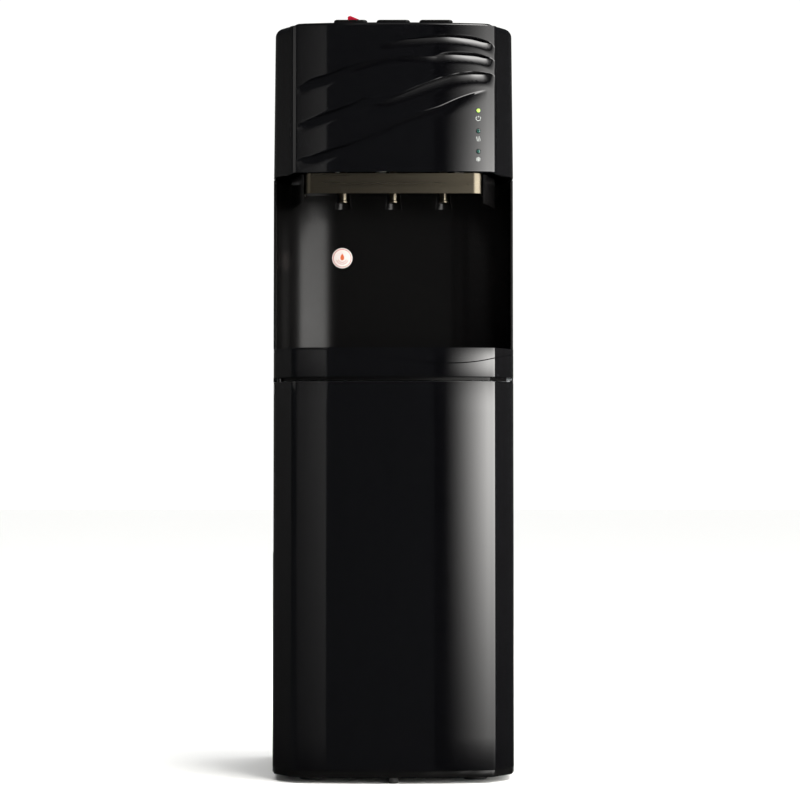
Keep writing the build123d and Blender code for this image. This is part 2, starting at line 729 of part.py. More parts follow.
def make_key_switching():
    """Bracket under the keys, and a microswitch below each stem."""
    bracket_top = head_top + key_rise - 11.0 - 16 + 5
    bracket_length = 2 * key_spacing + key_length + 16
    bracket_low = bracket_top - 22
    stem_bottom = bracket_top - 5
    switch_body_height = stem_bottom - key_travel - 0.3 - bracket_low
    with BuildPart() as key_bracket:
        with Locations((0, key_y, bracket_top)):
            Box(bracket_length, 34, 2, align=(Align.CENTER, Align.CENTER, Align.MAX))
        with Locations((0, key_y + 16, bracket_top)):
            Box(bracket_length, 2, 24, align=(Align.CENTER, Align.CENTER, Align.MAX))
        with BuildSketch(Plane.XY.offset(bracket_top)):
            with GridLocations(key_spacing, 1, 3, 1):
                with Locations((0, key_y)):
                    Circle(3.5 + running)
        extrude(amount=-2, mode=Mode.SUBTRACT)
    key_bracket.part.label = "key_bracket"
    export_step(key_bracket.part, "parts/key_bracket.step")

    with BuildPart() as key_microswitches:
        with GridLocations(key_spacing, 1, 3, 1):
            with Locations((0, key_y, bracket_low)):
                Box(20, 6.4, switch_body_height, align=(Align.CENTER, Align.CENTER, Align.MIN))
            with Locations((0, key_y + 9, bracket_low)):
                Box(12, 11.6, 6, align=(Align.CENTER, Align.CENTER, Align.MIN))
    key_microswitches.part.label = "key_microswitches"
    export_step(key_microswitches.part, "parts/key_microswitches.step")


def make_display():
    """Three indicator lenses in the front panel, and the small board that lights them."""
    lens_front = front_arc_y(lamp_x) + 0.4
    board_y = lens_front + 16
    with BuildPart() as led_lenses:
        for row in range(3):
            with BuildSketch(Plane.XZ.offset(-lens_front)):
                with Locations((lamp_x, lamp_top_z - row * lamp_pitch)):
                    Circle(lamp_radius)
            extrude(amount=-12)
        fillet(led_lenses.edges().group_by(Axis.Y)[0], 0.8)
    led_lenses.part.label = "led_lenses"
    export_step(led_lenses.part, "parts/led_lenses.step")

    with BuildPart() as display_board:
        with Locations((lamp_x, board_y, lamp_top_z - lamp_pitch)):
            Box(20, 1.6, 84)
        for row in range(3):
            with Locations((lamp_x, board_y - 2.2, lamp_top_z - row * lamp_pitch)):
                Box(3.5, 2.8, 3.5)
    display_board.part.label = "display_board"
    export_step(display_board.part, "parts/display_board.step")


def make_electronics():
    """Control board on the head's rear wall side, and the power supply beside it."""
    board_z = head_bottom + 110
    with BuildPart() as control_board:
        with Locations((-70, 110, board_z)):
            Box(120, 90, 1.6, align=(Align.CENTER, Align.CENTER, Align.MIN))
        for relay in range(4):
            with Locations((-112 + relay * 22, 135, board_z + 1.6)):
                Box(16, 20, 15, align=(Align.CENTER, Align.CENTER, Align.MIN))
        for capacitor in range(3):
            with Locations((-108 + capacitor * 20, 100, board_z + 1.6)):
                Cylinder(6, 18, align=(Align.CENTER, Align.CENTER, Align.MIN))
        with Locations((-40, 90, board_z + 1.6)):
            Box(24, 24, 3, align=(Align.CENTER, Align.CENTER, Align.MIN))
        for corner_x_offset in (-54, 54):
            for corner_y_offset in (-39, 39):
                with Locations((-70 + corner_x_offset, 110 + corner_y_offset, board_z)):
                    Cylinder(3, 8, align=(Align.CENTER, Align.CENTER, Align.MAX))
    control_board.part.label = "control_board"
    export_step(control_board.part, "parts/control_board.step")

    with BuildPart() as board_tray:
        with Locations((0, 105, board_z - 8)):
            Box(2 * (half_width - 12), 110, 1.5, align=(Align.CENTER, Align.CENTER, Align.MAX))
        for side in (-1, 1):
            with Locations((side * (half_width - 12), 105, board_z - 8)):
                Box(1.5, 110, 18, align=(Align.CENTER, Align.CENTER, Align.MAX))
    board_tray.part.label = "board_tray"
    export_step(board_tray.part, "parts/board_tray.step")

    with BuildPart() as power_supply:
        with Locations((75, 110, board_z - 8)):
            Box(110, 78, 38, align=(Align.CENTER, Align.CENTER, Align.MIN))
        fillet(power_supply.edges().filter_by(Axis.Z), 3)
        with BuildSketch(Plane.XY.offset(board_z + 30)):
            with Locations((75, 110)):
                with GridLocations(9, 12, 9, 4):
                    SlotOverall(8, 3, rotation=90)
        extrude(amount=-1.5, mode=Mode.SUBTRACT)
    power_supply.part.label = "power_supply"
    export_step(power_supply.part, "parts/power_supply.step")


def make_valves():
    """Solenoid valve over each tap: a moulded body, a coil and a rear hose spigot."""
    body_height = 24.0
    with BuildPart() as dispense_valves:
        with GridLocations(tap_spacing, 1, 3, 1):
            with Locations((0, tap_y, valve_z - 12)):
                Box(26, 26, body_height, align=(Align.CENTER, Align.CENTER, Align.MIN))
            with Locations((0, tap_y, valve_z - 12 + body_height)):
                Cylinder(13, 28, align=(Align.CENTER, Align.CENTER, Align.MIN))
            with Locations((0, tap_y + 18, valve_z)):
                Cylinder(4.5, 14, rotation=(90, 0, 0))
    dispense_valves.part.label = "dispense_valves"
    export_step(dispense_valves.part, "parts/dispense_valves.step")


def make_hot_tank():
    with BuildPart() as hot_tank:
        with Locations((hot_x, hot_y, tank_z)):
            Cylinder(hot_radius, hot_height, align=(Align.CENTER, Align.CENTER, Align.MIN))
        fillet(hot_tank.edges().group_by(Axis.Z)[-1], 14)
        fillet(hot_tank.edges().group_by(Axis.Z)[0], 8)
        with Locations((hot_x, hot_y, tank_z + hot_height - 1)):
            Cylinder(5, 12, align=(Align.CENTER, Align.CENTER, Align.MIN))
    hot_tank.part.label = "hot_tank"
    export_step(hot_tank.part, "parts/hot_tank.step")

    band_z = tank_z + 22
    with BuildPart() as tank_heater:
        with BuildSketch(Plane.XY.offset(band_z)):
            with Locations((hot_x, hot_y)):
                Circle(hot_radius + 3.2)
                Circle(hot_radius + 0.2, mode=Mode.SUBTRACT)
        extrude(amount=30)
        with Locations((hot_x, hot_y - hot_radius - 5, band_z + 15)):
            Box(12, 5, 14)
        for z in (tank_z + 74, tank_z + 96):
            with BuildSketch(Plane.YZ.offset(hot_x - hot_radius - 0.2)):
                with Locations((hot_y, z)):
                    Circle(8)
            extrude(amount=-7)
    tank_heater.part.label = "tank_heater"
    export_step(tank_heater.part, "parts/tank_heater.step")


def make_cooling():
    """Cold tank in its foam jacket, with the cooling module, heat sink and fan behind it."""
    tank_width = 100.0
    tank_depth = 88.0
    window = 44.0
    tank_back = cold_y + tank_depth / 2
    foam_back = tank_back + foam
    cold_tank_z = tank_z + foam
    with BuildPart() as cold_tank:
        with Locations((cold_x, cold_y, cold_tank_z)):
            Box(tank_width, tank_depth, cold_height, align=(Align.CENTER, Align.CENTER, Align.MIN))
        fillet(cold_tank.edges().filter_by(Axis.Z), 12)
        for x in (cold_x - 25, cold_x + 25):
            with Locations((x, cold_y, cold_tank_z + cold_height)):
                Cylinder(5, foam + 8, align=(Align.CENTER, Align.CENTER, Align.MIN))
    cold_tank.part.label = "cold_tank"
    export_step(cold_tank.part, "parts/cold_tank.step")

    with BuildPart() as tank_insulation:
        with Locations((cold_x, cold_y, tank_z)):
            jacket_height = cold_height + 2 * foam
            Box(
                tank_width + 2 * foam,
                tank_depth + 2 * foam,
                jacket_height,
                align=(Align.CENTER, Align.CENTER, Align.MIN),
            )
        fillet(tank_insulation.edges().filter_by(Axis.Z), 14)
        with BuildSketch(Plane.XY.offset(cold_tank_z - 0.2)):
            with Locations((cold_x, cold_y)):
                RectangleRounded(tank_width + 0.4, tank_depth + 0.4, 12.2)
        extrude(amount=cold_height + 0.4, mode=Mode.SUBTRACT)
        for x in (cold_x - 25, cold_x + 25):
            with Locations((x, cold_y, cold_tank_z + cold_height)):
                Cylinder(5.2, foam + 8, align=(Align.CENTER, Align.CENTER, Align.MIN), mode=Mode.SUBTRACT)
        with Locations((cold_x, foam_back, fan_z)):
            Box(window + 0.4, 2 * foam + 4, window + 0.4, mode=Mode.SUBTRACT)
    tank_insulation.part.label = "tank_insulation"
    export_step(tank_insulation.part, "parts/tank_insulation.step")

    with BuildPart() as cooling_module:
        with Locations((cold_x, (tank_back + foam_back) / 2, fan_z)):
            Box(window, foam, window)
        with Locations((cold_x, foam_back + 2, fan_z)):
            Box(40, 4, 40)
    cooling_module.part.label = "cooling_module"
    export_step(cooling_module.part, "parts/cooling_module.step")

    sink_front = foam_back + 4
    fin_depth = 30.0
    with BuildPart() as heat_sink:
        with Locations((cold_x, sink_front + 3, fan_z)):
            Box(fan_size, 6, fan_size)
        with Locations((cold_x, sink_front + 6 + fin_depth / 2, fan_z)):
            with GridLocations(6, 1, 16, 1):
                Box(1.2, fin_depth, fan_size)
    heat_sink.part.label = "heat_sink"
    export_step(heat_sink.part, "parts/heat_sink.step")

    frame_depth = 25.0
    frame_front = sink_front + 6 + fin_depth + 0.4
    frame_middle = frame_front + frame_depth / 2
    bore = fan_size / 2 - 2.5
    with BuildPart() as fan_frame:
        with Locations((cold_x, frame_middle, fan_z)):
            Box(fan_size, frame_depth, fan_size)
        fillet(fan_frame.edges().filter_by(Axis.Y), 5)
        with Locations((cold_x, frame_middle, fan_z)):
            Cylinder(bore, frame_depth, rotation=(90, 0, 0), mode=Mode.SUBTRACT)
        with BuildSketch(Plane.XZ.offset(-frame_front)):
            with Locations((cold_x, fan_z)):
                Circle(17)
                with PolarLocations(0, 4):
                    Rectangle(2 * bore + 2, 4)
        extrude(amount=-3)
        with Locations((cold_x, frame_front + 8, fan_z)):
            Cylinder(1.5, 16, rotation=(90, 0, 0))
        with BuildSketch(Plane.XZ.offset(-frame_front)):
            with Locations((cold_x, fan_z)):
                with GridLocations(82.5, 82.5, 2, 2):
                    Circle(2.2)
        extrude(amount=-frame_depth, mode=Mode.SUBTRACT)
    fan_frame.part.label = "fan_frame"
    export_step(fan_frame.part, "parts/fan_frame.step")

    hub_front = frame_front + 3.4
    hub_depth = 18.0
    with BuildPart() as fan_rotor:
        with Locations((cold_x, hub_front + hub_depth / 2, fan_z)):
            Cylinder(16, hub_depth, rotation=(90, 0, 0))
        blade_plane = Plane(origin=(cold_x, hub_front + hub_depth / 2, fan_z), x_dir=(1, 0, 0), z_dir=(0, -1, 0))
        with Locations(blade_plane):
            with PolarLocations(0, 7):
                with Locations(Location((28.5, 0, 0), (38, 0, 0))):
                    Box(27, 20, 1.6)
        with Locations((cold_x, hub_front + 7, fan_z)):
            Cylinder(1.5 + running, 14, rotation=(90, 0, 0), mode=Mode.SUBTRACT)
    fan_rotor.part.label = "fan_rotor"
    export_step(fan_rotor.part, "parts/fan_rotor.step")


def make_pump():
    """Small diaphragm pump on a bracket over the probe."""
    pump_z = shelf_top + 34
    with BuildPart() as water_pump:
        with Locations((probe_x, probe_y, pump_z)):
            Box(40, 36, 36)
        fillet(water_pump.edges().filter_by(Axis.Y), 5)
        with Locations((probe_x, probe_y + 34, pump_z)):
            Cylinder(13.5, 32, rotation=(90, 0, 0))
        with Locations((probe_x, probe_y, pump_z - 22)):
            Cylinder(3.6, 8)
        with Locations((probe_x + 10, probe_y, pump_z + 22)):
            Cylinder(3.6, 8)
    water_pump.part.label = "water_pump"
    export_step(water_pump.part, "parts/water_pump.step")

    with BuildPart() as pump_bracket:
        with Locations((probe_x - 23, probe_y, shelf_top)):
            Box(2, 40, 52, align=(Align.CENTER, Align.CENTER, Align.MIN))
        with Locations((probe_x + 22.5, probe_y, shelf_top)):
            Box(2, 40, 52, align=(Align.CENTER, Align.CENTER, Align.MIN))
    pump_bracket.part.label = "pump_bracket"
    export_step(pump_bracket.part, "parts/pump_bracket.step")


def hose(points, radii):
    """Solid run of flexible hose along straight runs joined by arcs."""
    with BuildPart() as run:
        with BuildLine() as path:
            FilletPolyline(*points, radius=radii)
        with BuildSketch(Plane(path.line @ 0, z_dir=path.line % 0)):
            Circle(hose_radius)
        sweep(path=path.line)
    return run.part


def make_hoses():
    pump_low = shelf_top + 34 - 26
    pump_high = shelf_top + 34 + 26
    collar_top = shelf_z - 42.0
    with BuildPart() as suction_hose:
        with Locations((probe_x, probe_y, collar_top)):
            Cylinder(hose_radius, pump_low - collar_top, align=(Align.CENTER, Align.CENTER, Align.MIN))
    suction_hose.part.label = "suction_hose"
    export_step(suction_hose.part, "parts/suction_hose.step")

    tank_ports_z = tank_z + foam + cold_height + foam + 8
    over_z = tank_ports_z + 22
    hot_port_z = tank_z + hot_height + 11
    supply = hose(
        [
            (probe_x + 10, probe_y, pump_high),
            (probe_x + 10, probe_y, over_z),
            (cold_x - 25, cold_y, over_z),
            (cold_x - 25, cold_y, tank_ports_z),
        ],
        [20, 14],
    )
    link_z = tank_z + 60
    link_start = hot_x + hot_radius + 0.3
    link_end = cold_x - 50 - foam - 0.3
    valve_port_y = tap_y + 26.8
    hot_line = hose(
        [(hot_x, hot_y, hot_port_z), (hot_x, hot_y, valve_z), (-tap_spacing, valve_port_y, valve_z)],
        [34],
    )
    cold_line = hose(
        [(cold_x + 25, cold_y, tank_ports_z), (cold_x + 25, cold_y, valve_z), (tap_spacing, valve_port_y, valve_z)],
        [34],
    )
    tee_x = (probe_x + 10 + cold_x - 25) / 2
    tee_y = (probe_y + cold_y) / 2
    room_line = hose(
        [(tee_x, tee_y, over_z + hose_radius), (tee_x, tee_y, valve_z), (0, valve_port_y, valve_z)],
        [18],
    )
    with BuildPart() as water_hoses:
        for line in (supply, hot_line, cold_line, room_line):
            add(line)
        with Locations(((link_start + link_end) / 2, hot_y, link_z)):
            Cylinder(hose_radius, link_end - link_start, rotation=(0, 90, 0))
    water_hoses.part.label = "water_hoses"
    export_step(water_hoses.part, "parts/water_hoses.step")


def make_probe():
    """Suction probe parked in its holder: a tube, a strainer foot and a bottle collar."""
    collar_top = shelf_z - 42.0
    collar_height = 26.0
    tube_length = 400.0
    tube_bottom = collar_top - collar_height - tube_length
    with BuildPart() as bottle_probe:
        with Locations((probe_x, probe_y, collar_top)):
            Cylinder(19, collar_height, align=(Align.CENTER, Align.CENTER, Align.MAX))
        fillet(bottle_probe.edges().group_by(Axis.Z)[-1], 5)
        with Locations((probe_x, probe_y, tube_bottom)):
            Cylinder(6, tube_length, align=(Align.CENTER, Align.CENTER, Align.MIN))
            Cylinder(9, 24, align=(Align.CENTER, Align.CENTER, Align.MIN))
    bottle_probe.part.label = "bottle_probe"
    export_step(bottle_probe.part, "parts/bottle_probe.step")

    holder_z = collar_top - collar_height - 0.2
    wall_x = -liner_half_width + liner_wall
    with BuildPart() as probe_holder:
        with BuildSketch(Plane.XY.offset(holder_z)):
            with Locations(((wall_x + probe_x) / 2, probe_y)):
                Rectangle(probe_x - wall_x, 24)
            with Locations((probe_x, probe_y)):
                Circle(15)
                Circle(6.4, mode=Mode.SUBTRACT)
            with Locations((probe_x + 10, probe_y)):
                Rectangle(20, 9, mode=Mode.SUBTRACT)
        extrude(amount=-5)
        with Locations((wall_x + 1.5, probe_y, holder_z)):
            Box(3, 24, 30, align=(Align.CENTER, Align.CENTER, Align.MAX))
    probe_holder.part.label = "probe_holder"
    export_step(probe_holder.part, "parts/probe_holder.step")


def make_rear_fittings():
    """Rocker switches in one housing, the power inlet, and the drain spouts with caps."""
    with BuildPart() as switch_housing:
        for x in switch_x:
            with Locations((x, rear_skin_y - 9, switch_z)):
                Box(switch_width, 20, switch_height)
            with Locations((x, rear_skin_y + 0.9, switch_z)):
                Box(switch_width + 4, 1.4, switch_height + 4)
            with Locations((x, rear_skin_y - 4, switch_z)):
                Box(switch_width - 2.4, 16, switch_height - 2.4, mode=Mode.SUBTRACT)
    switch_housing.part.label = "switch_housing"
    export_step(switch_housing.part, "parts/switch_housing.step")

    for x, name in zip(switch_x, ("heating_switch", "cooling_switch")):
        with BuildPart() as rocker:
            with BuildSketch(Plane.YZ.offset(x - switch_width / 2 + 1.6)):
                with BuildLine():
                    Polyline(
                        (rear_skin_y - 5.5, switch_z - 5),
                        (rear_skin_y + 0.8, switch_z - 6.8),
                        (rear_skin_y + 1.6, switch_z),
                        (rear_skin_y + 3.6, switch_z + 6.4),
                        (rear_skin_y - 5.5, switch_z + 5),
                        (rear_skin_y - 5.5, switch_z - 5),
                    )
                make_face()
            extrude(amount=switch_width - 3.2)
        rocker.part.label = name
        export_step(rocker.part, f"parts/{name}.step")

    with BuildPart() as power_inlet:
        with Locations((inlet_x, rear_skin_y - 9.5, inlet_z)):
            Box(28, 21, 21)
        with Locations((inlet_x, rear_skin_y + 1.2, inlet_z)):
            Box(50, 2.0, 27)
        fillet(power_inlet.edges().filter_by(Axis.Y).group_by(Axis.X)[0], 4)
        fillet(power_inlet.edges().filter_by(Axis.Y).group_by(Axis.X)[-1], 4)
        with Locations((inlet_x, rear_skin_y - 5.4, inlet_z)):
            Box(24, 15.5, 16.5, mode=Mode.SUBTRACT)
        for pin_x, pin_z in ((-7, -2), (0, 2.5), (7, -2)):
            with Locations((inlet_x + pin_x, rear_skin_y - 8, inlet_z + pin_z)):
                Box(2, 12, 4)
    power_inlet.part.label = "power_inlet"
    export_step(power_inlet.part, "parts/power_inlet.step")

    with BuildPart() as drain_spouts:
        for x in drain_x:
            with Locations((x, rear_skin_y - 12, drain_z)):
                Cylinder(spout_radius, 28, rotation=(90, 0, 0))
                Cylinder(spout_radius - 2, 28, rotation=(90, 0, 0), mode=Mode.SUBTRACT)
            with Locations((x, rear_skin_y - 20, drain_z)):
                Box(18, 12, 26)
    drain_spouts.part.label = "drain_spouts"
    export_step(drain_spouts.part, "parts/drain_spouts.step")

    cap_low = rear_skin_y + 0.5
    for x, name in zip(drain_x, ("hot_drain_cap", "cold_drain_cap")):
        with BuildPart() as drain_cap:
            with BuildSketch(Plane.XZ.offset(-rear_skin_y - rear_gap)):
                with Locations((x, drain_z)):
                    Circle(cap_radius)
                    with PolarLocations(cap_radius, 16):
                        Circle(0.9, mode=Mode.SUBTRACT)
            extrude(amount=rear_skin_y + rear_gap - cap_low)
            with BuildSketch(Plane.XZ.offset(-cap_low)):
                with Locations((x, drain_z)):
                    Circle(spout_radius + 0.4)
            extrude(amount=-3, mode=Mode.SUBTRACT)
        drain_cap.part.label = name
        export_step(drain_cap.part, f"parts/{name}.step")


def make_hot_label():
    """Thin round disc stuck to the back of the niche."""
    with BuildPart() as hot_label:
        with BuildSketch(Plane.XZ.offset(-niche_back_y + 0.6)):
            with Locations((-71, head_bottom - 100)):
                Circle(14)
        extrude(amount=0.4)
    hot_label.part.label = "hot_label"
    export_step(hot_label.part, "parts/hot_label.step")


make_base_plinth()
make_feet()
make_side_panels()
make_rear_panel()
make_cabinet_screws()
make_mid_shelf()
make_compartment_liner()
make_niche_panel()
make_mid_trim()
make_drip_tray()
make_drip_grille()
make_door()
make_door_fittings()
make_head_shell()
make_wave_panel()
make_tap_hood()
make_trim_band()
make_taps()
make_keys()
make_child_lock()
make_key_switching()
make_display()
make_electronics()
make_valves()
make_hot_tank()
make_cooling()
make_pump()
make_hoses()
make_probe()
make_rear_fittings()
make_hot_label()
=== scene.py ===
import json
import math

import bmesh
import bpy
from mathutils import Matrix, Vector


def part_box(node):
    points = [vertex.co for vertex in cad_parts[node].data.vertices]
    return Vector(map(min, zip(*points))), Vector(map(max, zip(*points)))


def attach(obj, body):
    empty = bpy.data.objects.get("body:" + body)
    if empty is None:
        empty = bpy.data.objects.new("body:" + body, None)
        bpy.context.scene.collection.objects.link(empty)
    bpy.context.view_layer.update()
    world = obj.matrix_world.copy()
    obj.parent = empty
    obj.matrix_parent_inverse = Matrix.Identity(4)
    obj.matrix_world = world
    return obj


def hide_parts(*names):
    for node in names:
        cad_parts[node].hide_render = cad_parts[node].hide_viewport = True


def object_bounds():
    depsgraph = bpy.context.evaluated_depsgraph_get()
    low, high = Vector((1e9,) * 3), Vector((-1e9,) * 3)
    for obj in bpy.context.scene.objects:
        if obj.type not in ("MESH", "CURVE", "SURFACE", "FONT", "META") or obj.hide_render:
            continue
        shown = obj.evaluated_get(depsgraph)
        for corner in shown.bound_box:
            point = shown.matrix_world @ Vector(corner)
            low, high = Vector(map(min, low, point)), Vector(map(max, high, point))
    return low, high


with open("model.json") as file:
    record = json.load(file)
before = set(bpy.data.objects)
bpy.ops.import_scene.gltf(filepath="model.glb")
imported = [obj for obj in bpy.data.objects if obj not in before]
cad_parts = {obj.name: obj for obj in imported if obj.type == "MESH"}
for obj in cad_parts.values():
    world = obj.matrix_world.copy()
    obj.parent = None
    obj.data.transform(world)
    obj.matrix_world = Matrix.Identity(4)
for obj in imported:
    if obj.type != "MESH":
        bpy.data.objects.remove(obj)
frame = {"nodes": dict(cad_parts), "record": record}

CAD_LOW, CAD_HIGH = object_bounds()

bl_info = {
    "name": "Bottle Water Dispenser",
    "version": (1, 0, 0),
    "blender": (4, 5, 0),
    "location": "3D View > Sidebar > Dispenser",
    "description": "Builds the visible pieces, finishes and studio of a water dispenser round its CAD frame",
    "category": "Object",
}

MM = 0.001
BODY_HALF = CAD_HIGH.x
FRONT_Y = CAD_LOW.y
NICHE_FRONT_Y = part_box("niche_panel")[0].y
NICHE_BACK_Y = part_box("niche_panel")[1].y
TRIM_LOW, TRIM_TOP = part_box("mid_trim")[0].z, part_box("drip_tray")[1].z
HEAD_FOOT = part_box("head_shell")[0].z
STEEL = 1.2 * MM          # thickness of the folded steel sides
SEAM = 0.4 * MM           # gap between fixed pieces that lie side by side
COLOUR_A, COLOUR_B, COLOUR_OUT = 6, 7, 2   # a Mix node's sockets for colours


# ---- colour and materials ------------------------------------------------------------------

def linear(code):
    """An sRGB hex value as linear red, green and blue."""
    parts = [int(code[at:at + 2], 16) / 255 for at in (0, 2, 4)]
    return tuple(part / 12.92 if part <= 0.04045 else ((part + 0.055) / 1.055) ** 2.4 for part in parts)


def add_node(tree, kind, links=(), **settings):
    """Adds one node with its settings. Each link is a socket, then a value or another node's output."""
    node = tree.nodes.new(kind)
    for name, value in settings.items():
        setattr(node, name, value)
    for socket, source in links:
        if isinstance(source, bpy.types.NodeSocket):
            tree.links.new(source, node.inputs[socket])
        else:
            node.inputs[socket].default_value = source
    return node


def plain_material(name, colour, roughness, metallic=0.0, ior=None):
    """A material with only its shader set, and that shader and its tree."""
    material = bpy.data.materials.new(name)
    material.use_nodes = True
    tree = material.node_tree
    shader = tree.nodes["Principled BSDF"]
    shader.inputs["Base Color"].default_value = (*colour, 1.0)
    shader.inputs["Roughness"].default_value = roughness
    shader.inputs["Metallic"].default_value = metallic
    if ior:
        shader.inputs["IOR"].default_value = ior
    material.diffuse_color = (*colour, 1.0)
    return material, tree, shader


def surface_material(name, colour, fleck, roughness, grain, bump, stretch=(1, 1, 1), metallic=0.0, ior=None):
    """A material with mottled colour, uneven gloss and a fine bump, all at a grain size in metres."""
    material, tree, shader = plain_material(name, linear(colour), roughness[0], metallic, ior)
    place = add_node(tree, "ShaderNodeTexCoord")
    spread = [side / grain for side in stretch]
    scaled = add_node(tree, "ShaderNodeMapping", [("Vector", place.outputs["Object"]), ("Scale", spread)])
    at = ("Vector", scaled.outputs[0])
    fine = add_node(tree, "ShaderNodeTexNoise", [at, ("Scale", 1.0), ("Detail", 3.0)])
    broad = add_node(tree, "ShaderNodeTexNoise", [at, ("Scale", 0.06), ("Detail", 4.0)])
    tint = add_node(tree, "ShaderNodeMix", [
        ("Factor", fine.outputs["Fac"]),
        (COLOUR_A, (*linear(colour), 1.0)),
        (COLOUR_B, (*linear(fleck), 1.0)),
    ], data_type="RGBA")
    tree.links.new(tint.outputs[COLOUR_OUT], shader.inputs["Base Color"])
    gloss = add_node(tree, "ShaderNodeMapRange", [
        ("Value", broad.outputs["Fac"]),
        ("From Min", 0.3),
        ("From Max", 0.7),
        ("To Min", roughness[0]),
        ("To Max", roughness[1]),
    ])
    tree.links.new(gloss.outputs[0], shader.inputs["Roughness"])
    raised = add_node(tree, "ShaderNodeBump", [
        ("Height", fine.outputs["Fac"]),
        ("Strength", 1.0),
        ("Distance", bump),
    ])
    tree.links.new(raised.outputs[0], shader.inputs["Normal"])
    return material


def make_materials():
    """Every finish of the dispenser, by its slot in the frame's record or by what it is used for."""
    made = {}
    # High-gloss ABS, polished mould: near-black body under a mirror skin with a trace of flow waviness
    made["piano_black"] = surface_material(
        "PolishedBlackABS", "030304", "060607", (0.03, 0.05), 14 * MM, 0.006 * MM, ior=1.54)
    # Spark-eroded ABS: the same black under a fine pebble, which leaves only a weak, soft sheen
    made["satin_black"] = surface_material(
        "SatinBlackABS", "070707", "090808", (0.24, 0.26), 0.9 * MM, 0.003 * MM, ior=1.54)
    satin = made["satin_black"].node_tree.nodes["Principled BSDF"]
    satin.inputs["Specular IOR Level"].default_value = 0.13
    # Polyester powder coat on folded steel: fine orange peel, satin sheen
    made["black_steel"] = surface_material(
        "BlackPowderCoatSteel", "101012", "161618", (0.3, 0.4), 1.6 * MM, 0.03 * MM, ior=1.5)
    # Hot-dip zinc on sheet steel: pale grey metal with broad dull spangle
    made["zinc_steel"] = surface_material(
        "GalvanisedSteel", "A9ADB0", "8E9396", (0.3, 0.5), 6 * MM, 0.01 * MM, metallic=1.0)
    # Smoked chrome plate on ABS: dark bronze mirror, drawn out sideways by fine polishing lines
    made["smoked_chrome"] = surface_material(
        "SmokedChromePlate", "635D51", "5B5549", (0.26, 0.34), 1.2 * MM, 0.004 * MM,
        stretch=(0.05, 1, 1), metallic=1.0)
    # High-impact polystyrene sheet: soft grey, even, slightly waxy
    made["liner_grey"] = surface_material(
        "VacuumFormedPolystyrene", "B9BCBE", "AEB1B4", (0.4, 0.5), 2.5 * MM, 0.02 * MM, ior=1.59)
    # Natural polypropylene mouldings: milky white, waxy
    made["white_plastic"] = surface_material(
        "MilkyPolypropylene", "E6E5DF", "DAD9D2", (0.35, 0.45), 2 * MM, 0.015 * MM, ior=1.49)
    # Glossy crimson ABS: wet red with a deep core
    made["red_plastic"] = surface_material(
        "CrimsonABS", "A3112B", "8E0C22", (0.12, 0.2), 3 * MM, 0.01 * MM, ior=1.54)
    # Green polycarbonate rocker
    made["green_plastic"] = surface_material(
        "GreenPolycarbonate", "2E8B3C", "257A33", (0.12, 0.2), 3 * MM, 0.01 * MM, ior=1.58)
    # Natural rubber foot: matt, faintly dusty
    made["foot_rubber"] = surface_material(
        "DustyRubber", "191919", "262524", (0.75, 0.9), 1.5 * MM, 0.05 * MM, ior=1.52)
    # Deep-drawn stainless steel: fine vertical draw lines
    made["stainless"] = surface_material(
        "DrawnStainlessSteel", "C9C9C6", "B4B4B1", (0.2, 0.32), 1.5 * MM, 0.01 * MM,
        stretch=(1, 1, 0.04), metallic=1.0)
    # Expanded polystyrene: white beads about 3 mm across
    made["foam"] = surface_material(
        "BeadedPolystyreneFoam", "F1F1EC", "E2E2DC", (0.7, 0.85), 3 * MM, 0.25 * MM, ior=1.5)
    # Extruded aluminium: pale metal with die lines along the fins
    made["sink_aluminium"] = surface_material(
        "ExtrudedAluminium", "CDD0D3", "BFC2C5", (0.28, 0.4), 1 * MM, 0.01 * MM, (1, 1, 0.05), metallic=1.0)
    # Food-grade silicone hose: cloudy, soft sheen
    made["silicone"] = surface_material(
        "CloudySiliconeHose", "D9D8D0", "CCCBC2", (0.4, 0.5), 4 * MM, 0.01 * MM, ior=1.41)
    # Solder mask over copper: green lacquer with darker tracks
    made["circuit_board"] = surface_material(
        "GreenSolderMask", "14532C", "0C3A1F", (0.2, 0.35), 2.5 * MM, 0.02 * MM, ior=1.5)
    # Printed vinyl film: clean white with a satin laminate
    made["label"] = surface_material(
        "WhiteVinylFilm", "E4DCD8", "DDD4D0", (0.3, 0.36), 2 * MM, 0.003 * MM, ior=1.5)
    # Printed inks on the vinyl film, flat and slightly glossy
    made["ring_ink"] = surface_material(
        "BrickRedInk", "B04A3E", "A84438", (0.3, 0.36), 1 * MM, 0.002 * MM, ior=1.5)
    made["drop_ink"] = surface_material(
        "OrangeInk", "D0602A", "C65824", (0.3, 0.36), 1 * MM, 0.002 * MM, ior=1.5)
    # Pad-printed icons: pale grey ink on the glossy panel
    made["icon_ink"] = surface_material(
        "PaleGreyPadPrint", "8F9390", "868A87", (0.35, 0.45), 0.8 * MM, 0.003 * MM, ior=1.5)
    # Tinted polycarbonate lenses: the first is lit from behind, the others are dark
    made["lit_lens"] = surface_material(
        "LitGreenLens", "7FBF4A", "9CCB5E", (0.12, 0.18), 1 * MM, 0.004 * MM, ior=1.58)
    lit = made["lit_lens"].node_tree.nodes["Principled BSDF"]
    lit.inputs["Emission Color"].default_value = (*linear("B6D860"), 1.0)
    lit.inputs["Emission Strength"].default_value = 0.55
    made["dark_lens"] = surface_material(
        "DarkTealLens", "1D3B36", "24463F", (0.12, 0.18), 1 * MM, 0.004 * MM, ior=1.58)
    return made


# ---- plan of the cabinet -------------------------------------------------------------------

